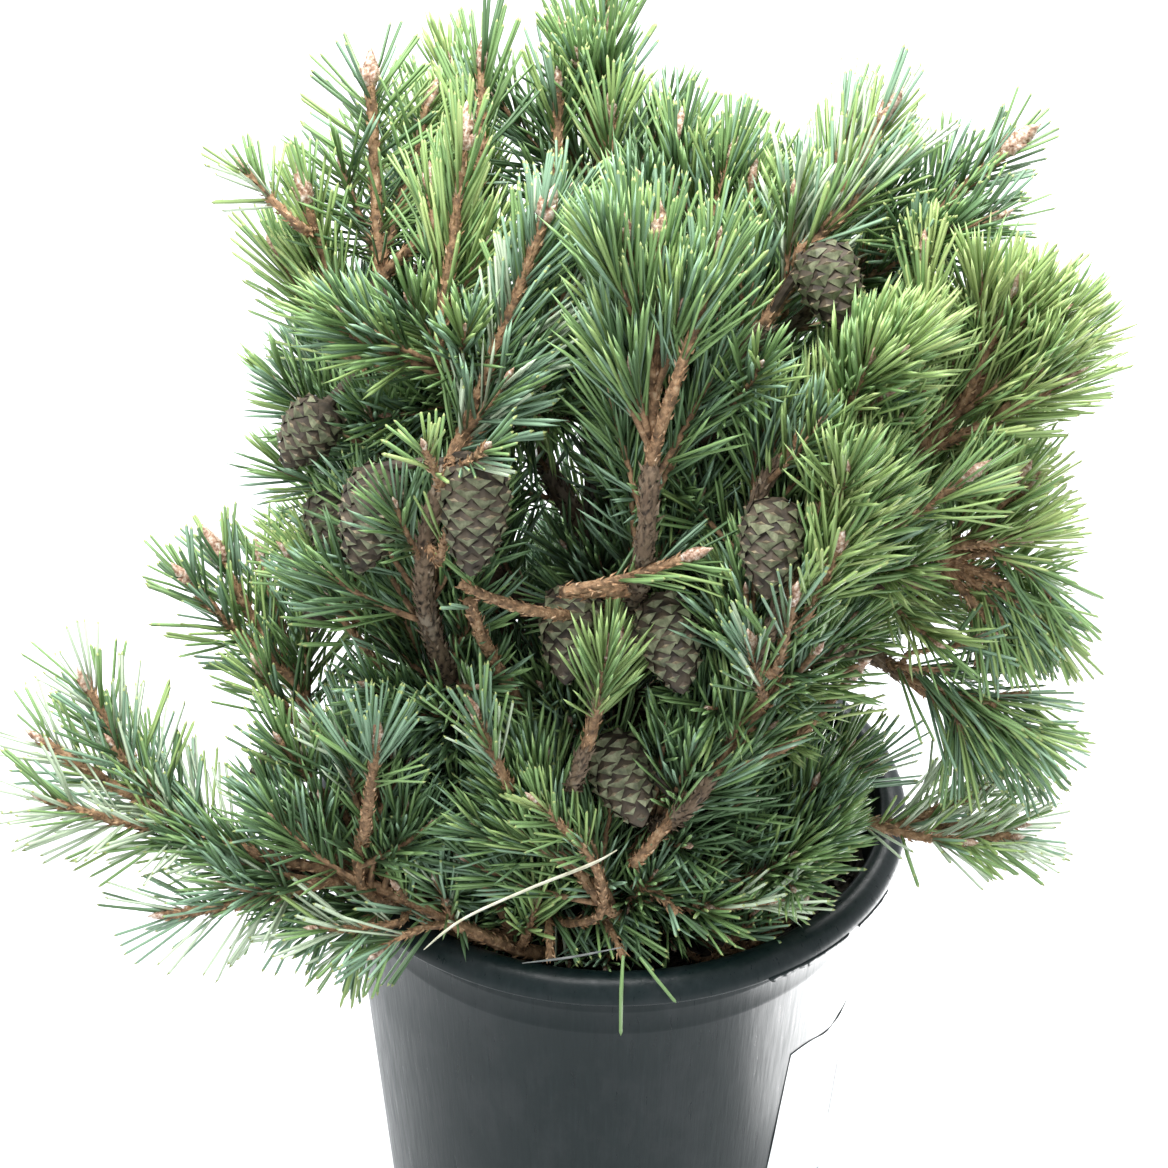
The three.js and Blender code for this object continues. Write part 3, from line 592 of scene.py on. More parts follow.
limbs = {"trunk": (through([place(*corner) for corner in TRUNK_LINE]), trunk_girth)}
masses = []
for name, carrier_name, at, foot, tip, girth, twigs, tint in CROWN:
    carrier = limbs[carrier_name][0]
    foot, tip = place(*foot), place(*tip)
    span = np.linalg.norm(tip - foot)
    leaving = heading_on(carrier, 1.0) if at == 1 else unit(tip - foot - UP * STEM_SAG * span)
    shoot = bezier(foot, foot + leaving * span / 2, tip)
    mass = {"name": name, "shoot": shoot, "tint": tint, "twigs": twigs, "bare": None}
    if at != 1:
        start = point_on(carrier, at)
        outward = unit((foot - start) * (1, 1, 0))
        bare = rising(start, unit(outward * 1.1 + heading_on(carrier, at) * 0.6), leaving, foot)
        if girth:
            limbs[name] = (bare, tapering(BOUGH_ROOT * girth, BOUGH_TIP * math.sqrt(girth)))
        else:
            mass["bare"] = bare
    masses.append(mass)
BOUGHS = [name for name in limbs if name != "trunk"]
BOUGH_NODES = ["bough_" + name for name in BOUGHS]


# ---------------------------------------------------------------- cones' places
# Each cone hangs on a short stalk from a mass's stem: which mass, where on its stem, the middle of the cone, the
# bearing and elevation that it points in, its length and its width.

CONES = [
    ("front_blue", 0.04, (245, 144, 567), (262, -66), 52, 28),
    ("front_blue", 0.02, (224, 148, 546), (230, -70), 52, 27),
    ("far_left", 0.05, (203, 148, 560), (205, -52), 36, 25),
    ("front_centre", 0.3, (259, 108, 490), (262, -48), 46, 27),
    ("front_centre", 0.5, (281, 120, 494), (292, -50), 46, 27),
    ("right_inner", 0.25, (296, 144, 552), (262, -58), 44, 27),
    ("front_right", 0.7, (272, 118, 419), (298, -40), 46, 28),
    ("left_long", 0.02, (212, 168, 370), (192, -8), 38, 23),
    ("left_mid", 0.75, (206, 141, 513), (290, -50), 36, 22),
    ("left_mid", 0.3, (204, 145, 472), (230, -60), 30, 20),
    ("left_up", 0.06, (202, 165, 382), (190, -12), 34, 21),
    ("upper_right", 0.06, (324, 108, 640), (300, -50), 40, 27),
    ("back_mid", 0.1, (54, 140, 480), (40, -55), 48, 28),
    ("back_left", 0.08, (146, 126, 462), (130, -50), 46, 27),
    ("back_right_high", 0.06, (28, 126, 566), (10, -50), 42, 26),
]


def aim_of(bearing, elevation):
    return place(bearing, math.cos(math.radians(elevation)), math.sin(math.radians(elevation)))


cone_starts, cone_ends, cone_radii = [], [], []
for _, _, seat, aim, cone_length, cone_width in CONES:
    middle, direction = place(*seat), aim_of(*aim)
    cone_starts.append(middle - direction * cone_length * 0.4)
    cone_ends.append(middle + direction * cone_length * 0.3)
    cone_radii.append(cone_width / 2)
cone_starts, cone_ends, cone_radii = (np.array(part) for part in (cone_starts, cone_ends, cone_radii))


# ---------------------------------------------------------------- where there is room
# The plant fills its pot without growing through itself. Twigs keep to their own mass's space, and twigs and needles
# stay off the pot, the wood and the cones.

def gap_to(points, starts, ends):
    """How far each point is from each straight piece."""
    along = ends - starts
    share = np.einsum("psk,sk->ps", points[:, None] - starts[None], along) / np.maximum((along**2).sum(1), 1e-9)
    nearest = starts[None] + along[None] * np.clip(share, 0, 1)[..., None]
    return np.linalg.norm(points[:, None] - nearest, axis=2)


def clear_of_pot(points, margin):
    reach, height = np.hypot(points[:, 0], points[:, 1]), points[:, 2]
    inside = reach < wall_radius(height) - WALL - margin
    return np.where(inside, height > SOIL_TOP + margin, (height > POT_HEIGHT + margin) | (reach > RIM_RADIUS + margin))


# The front and the right of the rim stand clear of the foliage: as far out as RIM_CLEAR and between two lines from
# front to back, as seen from the camera, for all that hangs below CLEAR_BELOW.
EYE_POINT = np.array(EYE) / MM
RIM_CLEAR, CLEAR_LEFT, CLEAR_RIGHT, CLEAR_BELOW = 135, -46, 168, 362


def over_rim(points):
    seen = EYE_POINT + (points - EYE_POINT) * ((EYE_POINT[2] - POT_HEIGHT) / (EYE_POINT[2] - points[:, 2]))[:, None]
    across = (seen[:, 0] > CLEAR_LEFT) & (seen[:, 0] < CLEAR_RIGHT)
    return (np.hypot(seen[:, 0], seen[:, 1]) > RIM_CLEAR) & across & (points[:, 2] < CLEAR_BELOW)


def clear_of_cones(points, margin):
    return (gap_to(points, cone_starts, cone_ends) > cone_radii + margin).all(1)


wood_starts, wood_ends, wood_radii = [], [], []
for line, girth_at in limbs.values():
    knots = point_on(line, np.linspace(0, 1, 13))
    wood_starts.append(knots[:-1])
    wood_ends.append(knots[1:])
    wood_radii.append(girth_at(np.arange(12) / 12))
wood_starts, wood_ends, wood_radii = (np.concatenate(part) for part in (wood_starts, wood_ends, wood_radii))


def clear_of_wood(points, margin):
    return (gap_to(points, wood_starts, wood_ends) > wood_radii + margin).all(1)


stem_starts, stem_ends, stem_owner = [], [], []
for owner, mass in enumerate(masses):
    bare, shoot = mass["bare"], mass["shoot"]
    mass["stem"] = shoot if bare is None else evened(np.concatenate([bare, shoot[1:]]))
    knots = point_on(mass["stem"], np.linspace(0, 1, 5 if bare is None else 10))
    stem_starts.append(knots[:-1])
    stem_ends.append(knots[1:])
    stem_owner += [owner] * (len(knots) - 1)
stem_starts, stem_ends, stem_owner = np.concatenate(stem_starts), np.concatenate(stem_ends), np.array(stem_owner)
first_of = np.searchsorted(stem_owner, np.arange(len(masses)))


def in_own_space(points, owner, margin):
    """Whether each point is nearer to its own mass's stem than to all the others, by a margin."""
    gaps = np.minimum.reduceat(gap_to(points, stem_starts, stem_ends), first_of, axis=1)
    home = gaps[:, owner].copy()
    gaps[:, owner] = np.inf
    return gaps.min(1) > home + margin


# ---------------------------------------------------------------- twigs
# The leading shoots carry twigs by the same rule as in the solid model, and the twigs carry finer ones. Single shoots
# fill in between the masses, and shaded ones clothe the boughs inside the crown.

# How needles clothe a shoot: the share of its length below which it is bare, how far they lean off it there and at
# its tip in degrees, their length, how many pairs stand on a millimetre, and how far they rise or hang.
PLUME = (0.04, 36, 12, 40, 0.68, 0.1)
FORKED = (0.3, 25, 9, 45, 0.76, 0.1)
FEATHER = (0.02, 46, 22, 38, 0.85, 0.06)
BRUSH = (0.0, 52, 26, 37, 0.58, 0.12)
TUFT = (0.24, 38, 13, 39, 0.7, 0.12)
FAN = (0.45, 62, 8, 41, 1.2, 0.1)
SHADED = (0.2, 46, 18, 37, 0.52, 0.12)
SPARSE = (0.35, 50, 26, 32, 0.42, 0)
OPEN = (0.0, 54, 28, 41, 0.5, 0.1)
COMB = (0.0, 70, 44, 41, 0.72, 0.04)
HANGING = (0.2, 42, 20, 41, 0.7, -0.55)
SHORT = (0.3, 48, 24, 25, 0.6, 0.05)
STUB = (0.7, 40, 40, 24, 0.4, 0)
FORMS = {
    "upper_left": COMB, "left_long": OPEN, "left_low": OPEN, "right_back": BRUSH, "right_low": BRUSH,
    "right_droop": HANGING, "left_up": BRUSH, "front_low": BRUSH, "front_fan": FAN, "front_blue": FEATHER,
    "left_inner": PLUME, "fork": FORKED, "upper_right": PLUME, "far_left": PLUME, "top": PLUME,
}

# Single shoots between the masses: the mass that they belong to, what carries them and where, the foot of their
# needles, their bud, their girth at the foot, colour and form. Hanging ones are clothed further back towards their
# root, and HANGING_BARE is how much of their stem stays bare.
HANGING_BARE = 0.6
FINER = [
    ("far_left", "far_left shoot", 0.82, (187, 141, 641), (183, 162, 662), 2.0, "pale", SHORT),
    ("top", "trunk", 0.97, (157, 31, 653), (136, 40, 684), 2.6, "mid", TUFT),
    ("top", "trunk", 0.93, (203, 5, 644), (117, 13, 679), 2.2, "fresh", TUFT),
    ("top", "top shoot", 0.73, (106, 58, 684), (98, 67, 704), 1.6, "fresh", SPARSE),
    ("top_right", "top_right stem", 1, (326, 25, 646), (10, 24, 674), 2.4, "mid", TUFT),
    ("top_right", "top_right shoot", 0.13, (329, 62, 642), (344, 57, 662), 2.0, "fresh", TUFT),
    ("left_inner", "upper_left", 1, (187, 62, 666), (167, 63, 702), 2.4, "mid", PLUME),
    ("fork", "fork", 1, (281, 114, 622), (292, 99, 671), 2.6, "mid", PLUME),
    ("upper_right", "upper_right shoot", 0.27, (330, 87, 647), (348, 115, 675), 2.4, "pale", PLUME),
    ("right_back", "right_back", 1, (0, 124, 617), (341, 132, 652), 2.0, "deep", TUFT),
    ("right_bright", "right_bright", 1, (326, 152, 599), (335, 139, 649), 2.4, "yellow", PLUME),
    ("right_bright", "right_bright shoot", 0.4, (341, 156, 591), (347, 180, 621), 2.2, "yellow", BRUSH),
    ("right_inner", "right_inner", 1, (316, 161, 552), (326, 175, 567), 2.2, "fresh", TUFT),
    ("right_edge", "right_edge", 0.98, (332, 170, 521), (336, 190, 523), 2.0, "yellow", TUFT),
    ("right_edge", "right_edge", 1, (335, 179, 503), (337, 201, 477), 1.8, "mid", HANGING),
    ("right_edge", "right_edge", 1, (332, 174, 495), (334, 192, 460), 1.8, "mid", HANGING),
    ("right_droop", "right_droop", 0.98, (328, 157, 466), (331, 181, 476), 1.3, "deep", SPARSE),
    ("mid_right", "mid_right", 1, (306, 138, 440), (316, 141, 459), 2.2, "fresh", TUFT),
    ("front_blue", "front_blue", 0.33, (246, 123, 416), (239, 123, 447), 2.2, "blue", TUFT),
    ("front_centre", "fork", 0.65, (260, 124, 524), (282, 127, 543), 2.4, "mid", SPARSE),
    ("left_long", "left_long", 0.68, (231, 159, 338), (225, 188, 343), 1.9, "pale", BRUSH),
    ("low_right", "low_right stem", 0.97, (290, 120, 342), (300, 141, 353), 1.9, "pale", TUFT),
    ("left_mid", "fork", 0.45, (252, 128, 514), (243, 147, 533), 2.6, "mid", STUB),
    ("front_centre", "trunk", 0.06, (243, 131, 498), (243, 140, 520), 3.6, "mid", STUB),
    ("low_right", "low_right stem", 0.87, (276, 117, 357), (282, 137, 356), 2.2, "mid", STUB),
    ("front_bright", "trunk", 0.06, (267, 112, 335), (272, 134, 329), 1.9, "deep", HANGING),
    ("low_right", "trunk", 0.06, (288, 106, 332), (290, 126, 346), 1.9, "mid", TUFT),
    ("front_low", "trunk", 0.05, (255, 114, 333), (258, 137, 328), 1.9, "blue", HANGING),
    ("left_long", "left_long", 0.63, (236, 142, 333), (232, 169, 332), 1.8, "blue", BRUSH),
    ("left_long", "left_long shoot", 0.17, (206, 211, 360), (200, 242, 407), 2.2, "blue", OPEN),
    ("left_up", "left_up", 0.9, (214, 157, 382), (213, 179, 422), 2.0, "mid", TUFT),
    ("left_long", "left_long", 0.87, (218, 162, 362), (215, 188, 394), 1.9, "blue", TUFT),
    ("left_up", "left_up", 1, (202, 154, 396), (201, 172, 433), 2.0, "mid", TUFT),
    ("left_mid", "left_mid", 1, (216, 129, 448), (212, 149, 485), 2.0, "mid", TUFT),
    ("left_mid", "left_mid", 1, (207, 130, 474), (204, 154, 497), 2.0, "fresh", TUFT),
    ("left_long", "left_long", 0.72, (225, 148, 333), (225, 169, 322), 1.8, "mid", HANGING),
    ("left_long", "left_long", 0.77, (219, 155, 335), (219, 172, 330), 1.8, "blue", TUFT),
    ("low_right", "right_low", 0.75, (327, 104, 359), (336, 118, 382), 2.0, "mid", TUFT),
    ("right_low", "right_low", 0.83, (333, 110, 360), (342, 126, 366), 1.9, "blue", TUFT),
    ("low_right", "right_low", 0.68, (319, 94, 355), (327, 103, 380), 2.0, "mid", TUFT),
    ("left_long", "left_long", 0.82, (218, 156, 359), (208, 163, 377), 1.9, "mid", TUFT),
    ("left_long", "left_long", 0.83, (217, 151, 363), (211, 150, 387), 1.9, "deep", TUFT),
    ("front_low", "front_low stem", 0.85, (231, 133, 319), (230, 152, 353), 1.9, "mid", TUFT),
    ("front_low", "front_low stem", 0.85, (237, 128, 319), (236, 143, 359), 1.9, "blue", TUFT),
    ("front_low", "front_low stem", 0.8, (249, 118, 314), (254, 125, 349), 1.9, "fresh", TUFT),
    ("front_bright", "front_bright stem", 1, (267, 98, 388), (270, 100, 426), 2.0, "mid", TUFT),
    ("right_droop", "right_droop", 0.95, (327, 153, 457), (330, 171, 458), 1.5, "deep", HANGING),
    ("right_droop", "right_droop", 1, (329, 162, 448), (331, 176, 441), 1.5, "deep", HANGING),
    ("right_edge", "right_edge", 1, (335, 184, 514), (337, 207, 495), 1.8, "mid", HANGING),
    ("right_edge", "right_edge", 1, (335, 189, 499), (337, 213, 467), 1.8, "fresh", HANGING),
    ("right_edge", "right_edge", 0.98, (333, 177, 484), (332, 182, 458), 1.7, "mid", HANGING),
    ("front_blue", "front_blue", 0.87, (238, 144, 539), (242, 152, 567), 2.0, "mid", SHORT),
    ("front_blue", "front_blue shoot", 0, (240, 148, 580), (240, 160, 605), 2.0, "fresh", SHORT),
    ("front_blue", "front_blue shoot", 0.03, (240, 139, 583), (248, 149, 606), 2.0, "blue", SHORT),
    ("right_inner", "right_inner", 0.8, (297, 148, 488), (297, 160, 534), 2.2, "mid", TUFT),
    ("right_inner", "right_inner", 1, (300, 154, 514), (303, 165, 558), 2.2, "fresh", TUFT),
    ("right_inner", "right_inner", 0.6, (298, 138, 464), (292, 150, 508), 2.2, "blue", TUFT),
    ("right_edge", "right_edge", 1, (334, 180, 495), (334, 192, 473), 1.9, "mid", HANGING),
    ("right_droop", "right_droop shoot", 0.17, (331, 171, 440), (329, 181, 422), 1.6, "mid", HANGING),
    ("right_droop", "right_droop shoot", 0.57, (333, 187, 429), (335, 206, 418), 1.6, "mid", HANGING),
    ("front_fan", "front_fan stem", 1, (229, 169, 399), (232, 170, 450), 2.8, "blue", FAN),
    ("front_blue", "front_blue", 0.43, (250, 139, 426), (246, 149, 467), 2.6, "blue", TUFT),
    ("right_edge", "right_edge", 1, (334, 180, 498), (335, 200, 486), 1.8, "deep", HANGING),
    ("low_right", "trunk", 0.05, (298, 108, 298), (303, 120, 326), 1.8, "deep", SHORT),
    ("low_right", "trunk", 0.05, (305, 112, 300), (309, 124, 322), 1.8, "mid", SHORT),
    ("low_right", "trunk", 0.06, (312, 112, 298), (315, 124, 321), 1.8, "deep", SHORT),
    ("low_right", "trunk", 0.06, (318, 104, 300), (321, 112, 328), 1.8, "mid", SHORT),
    ("low_right", "trunk", 0.05, (301, 98, 304), (307, 106, 336), 1.8, "mid", SHORT),
    ("low_right", "trunk", 0.05, (311, 98, 304), (316, 107, 337), 1.8, "fresh", SHORT),
]

shoots = []


def add_shoot(line, radii, tint, owner, rank, bare, form):
    """Rank 0 leads a mass, 1 is a twig or a single shoot, 2 a finer twig and 3 a shaded one."""
    shoots.append(
        {"line": line, "radii": radii, "tint": tint, "owner": owner, "rank": rank, "bare": bare, "form": form})


def twig_line(root, direction, length, lift=0.35):
    bend = root + direction * length * 0.5
    return bezier(root, bend, bend + unit(direction + UP * lift) * length * 0.5)


def has_room(points, off_pot, off_cones):
    return clear_of_pot(points, off_pot).all() and clear_of_cones(points, off_cones).all()


# How a twig that has no room tries again: turned round its stem by so many degrees, and to a share of its length.
SWINGS = [(0, 1), (50, 1), (-50, 1), (0, 0.75), (95, 0.85), (-95, 0.85), (0, 0.55)]
ALONG_TWIG = np.arange(1, 7) / 6
# How far twigs keep off the pot and the cones, off the wood, and off the space of other masses.
OFF_POT_AND_CONES, OFF_WOOD, OFF_OTHERS = (3, 3.3), 5.6, 9
# Twigs, needles and scales each stand so many degrees round their stem from the one before.
GOLDEN_TURN = 137.5

for owner, mass in enumerate(masses):
    roll = chance(101 + owner)
    shoot, form = mass["shoot"], FORMS.get(mass["name"], TUFT)
    leader_length = length_of(shoot)
    bare = 0.0 if mass["bare"] is None else 1 - leader_length / length_of(mass["stem"])
    add_shoot(mass["stem"], (STEM_ROOT * 0.86, STEM_TIP * 0.95), mass["tint"], owner, 0, bare, form)
    for twig in range(mass["twigs"]):
        at = 0.04 + 0.5 * twig / mass["twigs"] + 0.06 * roll()
        lean = 18 + 13 * roll()
        turn = GOLDEN_TURN * twig + 40 * roll()
        root, axis = point_on(shoot, at), heading_on(shoot, at)
        wanted = max(TWIG_SHORTEST, leader_length * (0.8 - 0.45 * at) * (0.85 + 0.3 * roll()))
        for swing, share in SWINGS:
            direction = leaning(axis, lean, turn + swing)
            line = twig_line(root, direction, max(TWIG_SHORTEST, wanted * share))
            points = point_on(line, ALONG_TWIG)
            if (direction[2] > -TWIG_DROOP and has_room(points, *OFF_POT_AND_CONES)
                    and in_own_space(points, owner, OFF_OTHERS).all() and clear_of_wood(points[1:], OFF_WOOD).all()):
                add_shoot(line, (TWIG_ROOT, TWIG_TIP), mass["tint"], owner, 1, 0.0, form)
                break

carriers = {name: limb[0] for name, limb in limbs.items()}
for mass in masses:
    carriers[mass["name"] + " shoot"] = mass["shoot"]
    if mass["bare"] is not None:
        carriers[mass["name"] + " stem"] = mass["bare"]
own_shoots = len(shoots)
for name, carrier, at, foot, tip, thick, tint, form in FINER:
    foot, tip = place(*foot), place(*tip)
    span = np.linalg.norm(tip - foot)
    leaving = unit(tip - foot + UP * span * (0.4 if tip[2] < foot[2] else -STEM_SAG))
    start = point_on(carriers[carrier], at)
    stem = rising(start, unit(heading_on(carriers[carrier], at) * 0.4 + unit(foot - start)), leaving, foot)
    shoot = bezier(foot, foot + leaving * span / 2, tip)
    line = evened(np.concatenate([stem, shoot[1:]]))
    bare = length_of(stem) / length_of(line) * (HANGING_BARE if form is HANGING else 1)
    add_shoot(line, (thick * 1.1, thick * 0.75), tint, NAMES.index(name), 1, bare, form)

# Bent shoots that are bare for most of their length: a thick one that leans out over the left of the rim, and a
# slim one that has turned up again in front of the crown. Each goes through its corners, and the share of it that
# is bare follows its girth.
BENT = [
    ("left_long", "trunk", 0.04, [
        (256, 60, 284), (251, 108, 303), (240, 130, 325), (232, 141, 338), (221, 163, 353), (211, 194, 360),
        (207, 211, 368)], 3.3, 0.86, "mid", TUFT),
    ("front_bright", "front_low stem", 0.5, [
        (256, 112, 329), (262, 121, 337), (267, 129, 349), (268, 132, 363), (267, 134, 379), (264, 136, 394),
        (260, 138, 407), (256, 142, 421)], 2.1, 0.66, "fresh", SHORT),
]
for name, carrier, at, corners, thick, bare, tint, form in BENT:
    line = through([point_on(carriers[carrier], at), *[place(*corner) for corner in corners]])
    carriers[name + " bent"] = line
    add_shoot(line, (thick * 1.1, thick * 0.75), tint, NAMES.index(name), 1, bare, form)

# The masses that stand out alone and have few side twigs, and those whose leading shoot has none.
LONE = (
    "upper_left", "left_long", "left_low", "right_back", "right_droop", "right_low", "left_up", "front_centre",
    "front_fan", "front_blue", "left_inner", "far_left", "upper_right", "top", "top_right", "right_edge", "back_high",
    "back_right_high")
BARE_SIDED = ("right_low", "right_droop", "left_long")
# Where the side twigs stand on a leading shoot, on a twig and on a leading shoot that stands alone.
ON_LEADER, ON_TWIG, ON_LONE = (0.05, 0.05, 0.28, 0.28, 0.52, 0.52), (0.12, 0.42), (0.1,)
FINE_LEANS, FINE_LENGTHS, FINE_LIFT, FINE_GIRTHS = (18, 36), (30, 52), 0.6, (1.8, 1.4)


def sprout(line, at, tries, leans, lengths, lift, checked, fits):
    """A twig off a line: the first of some random tries whose points at the checked places fit, or none."""
    root, axis = point_on(line, at), heading_on(line, at)
    for attempt in range(tries):
        direction = leaning(axis, dice.uniform(*leans), 360 * dice.random())
        twig = twig_line(root, direction, dice.uniform(*lengths), lift)
        points = point_on(twig, np.array(checked))
        if fits(points) and not over_rim(points).any():
            return twig
    return None


dice = np.random.default_rng(17)
for parent in shoots[:own_shoots]:
    owner, leads = parent["owner"], parent["rank"] == 0
    nodes = ON_LEADER if leads else ON_TWIG
    if NAMES[owner] in LONE:
        nodes = ON_LONE if leads and NAMES[owner] not in BARE_SIDED else ()
    for node in nodes:
        at = parent["bare"] + (1 - parent["bare"]) * (node + 0.06 * dice.random())
        twig = sprout(parent["line"], at, 8, FINE_LEANS, FINE_LENGTHS, FINE_LIFT, (0.4, 0.7, 1.0), lambda points: (
            has_room(points, 6, 4) and in_own_space(points, owner, 3).all()))
        if twig is not None:
            form = TUFT if parent["form"] is PLUME else parent["form"]
            add_shoot(twig, FINE_GIRTHS, parent["tint"], owner, 2, 0.0, form)

# Shaded twigs stand along the boughs and stems. Their needles take a darker colour than their mass, painted shade
# for the inside of the crown. They keep behind FRONT, or further back in the masses that are hollow in front, and
# beyond a share of its length each bough is bare.
SHADE = {"blue": "deep", "mid": "deep", "fresh": "mid", "yellow": "fresh", "pale": "mid", "deep": "deep"}
FRONT, HOLLOW_FRONT = -126, -88
HOLLOW = ("fork", "front_centre", "top", "left_inner", "upper_left")
BARE_BEYOND = {"left_long": 0.35, "right_droop": 0.5, "front_blue": 0.85, "right_low": 0.7, "upper_left": 0.8,
               "left_up": 0.7, "far_left": 0.6}
SHADED_FROM, SHADED_TO, SHADED_SPACING = 0.2, 0.98, 7
SHADED_LEANS, SHADED_LENGTHS, SHADED_LIFT, SHADED_GIRTHS = (28, 62), (36, 70), 0.5, (1.7, 1.2)

shaded = [(limbs[mass["name"]][0] if mass["bare"] is None else mass["bare"], owner, SHADE[mass["tint"]])
          for owner, mass in enumerate(masses) if mass["bare"] is not None or mass["name"] in limbs]
shaded.append((limbs["trunk"][0], 0, "deep"))
for line, owner, tint in shaded:
    front = HOLLOW_FRONT if NAMES[owner] in HOLLOW else FRONT
    clothed = BARE_BEYOND.get(NAMES[owner], SHADED_TO) - SHADED_FROM
    steps = int(length_of(line) * clothed / SHADED_SPACING)
    for number in range(steps):
        at = SHADED_FROM + clothed * (number + dice.random()) / steps
        twig = sprout(line, at, 5, SHADED_LEANS, SHADED_LENGTHS, SHADED_LIFT, (0.5, 0.8, 1.0), lambda points: (
            points[-1][1] >= front and has_room(points, 8, 6) and clear_of_wood(points[1:], 3).all()))
        if twig is not None:
            add_shoot(twig, SHADED_GIRTHS, tint, owner, 3, 0.0, SHADED)


# ---------------------------------------------------------------- needles
# Stiff waxy needles stand in pairs from a short brown sheath, spirally all round the shoot and closing up round its
# bud. Each is flat on the side that faces its partner and rounded on the other, with a horny yellow point. The
# colours are dealt out by shoot, with a few needles of the next colours among them.

NEEDLE_COLOURS = {
    "blue": (0.225, 0.36, 0.235),
    # The deep green is painted shade, for shoots in shadow inside and behind the crown and low at its front.
    "deep": (0.105, 0.19, 0.085),
    "mid": (0.195, 0.325, 0.12),
    "fresh": (0.285, 0.41, 0.145),
    "yellow": (0.37, 0.47, 0.18),
    # The pale green is painted light, standing in for the glare that washes out the shoots that carry it.
    "pale": (0.51, 0.61, 0.44),
}
NEAR_COLOURS = {
    "blue": ("blue", "blue", "blue", "pale", "deep", "mid"),
    "deep": ("deep", "deep", "deep", "mid", "mid", "blue"),
    "mid": ("mid", "mid", "mid", "fresh", "deep", "blue"),
    "fresh": ("fresh", "fresh", "fresh", "yellow", "mid", "mid"),
    "yellow": ("yellow", "yellow", "fresh", "fresh", "fresh", "mid"),
    "pale": ("pale", "pale", "pale", "blue", "fresh", "mid"),
}
NEEDLE_WIDTH, NEEDLE_THICKNESS = 1.85, 1.1
GOLDEN = math.radians(GOLDEN_TURN)
NEEDLE_SHORTEST = 16
MOST_TRIANGLES = 190000

# How far the needles of each mass may reach past the box of its solid, sideways and up, and all of them down.
reach_boxes = [[np.array(corner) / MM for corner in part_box(node)] for node in MASS_NODES]
REACH_DOWN, REACH_ELSE = 46, 42
REACH_BEYOND = {
    "far_left": 18, "right_bright": 12, "back_right": 12, "back_left_high": 24, "right_edge": 20, "top": 26,
    "top_right": 12, "left_long": 32, "left_mid": 24, "back_high": 14, "back_right_high": 14, "right_low": 30,
    "low_right": 20}

# Leading shoots keep the smaller share and other twigs the larger one of the needles on the side towards the camera,
# so that their bark shows.
TO_CAMERA = unit(EYE_POINT - (0, 0, 480))
FACING_KEPT = (0.3, 0.6)

# Stems that stand in the open at the front, and from where to where on them. Few needles cross them, and rather more
# of those on shoots in OWN_FORMS, which are mostly their own.
SHOWN = [
    ("front_blue", 0.5, 1), ("front_blue shoot", 0, 0.82), ("upper_left shoot", 0.1, 0.9),
    ("left_long bent", 0.35, 0.9), ("front_bright bent", 0.3, 0.72), ("fork", 0.75, 1), ("right_droop", 0.75, 1)]
SHOWN_MARGIN, SHOWN_CROSSED = 4.5, 0.15
OWN_FORMS, OWN_CROSSED = (FEATHER, FORKED, COMB), 0.4
shown_sight = np.concatenate([point_on(carriers[name], np.linspace(*span, 30)) for name, *span in SHOWN]) - EYE_POINT
shown_depth = np.linalg.norm(shown_sight, axis=1)
shown_sight = unit(shown_sight)


def hides_stem(points):
    """Whether a point stands between the camera and one of the shown stems."""
    away = points - EYE_POINT
    along = away @ shown_sight.T
    beside = (away**2).sum(1)[:, None] - along**2
    return ((beside < SHOWN_MARGIN**2) & (along < shown_depth - 2)).any(1)


def frames_along(line, at):
    """The direction of a line at each place, with two directions across it."""
    ahead = heading_on(line, at)
    side = unit(np.cross(ahead, (1, 0, 0) if abs(unit(line[-1] - line[0])[2]) > 0.75 else UP))
    return ahead, side, np.cross(ahead, side)


def spiral(line, at, turn):
    """The direction along a line at each place, and the one outwards from it that is turned so far round."""
    ahead, side, across = frames_along(line, at)
    return ahead, side * np.cos(turn)[:, None] + across * np.sin(turn)[:, None]


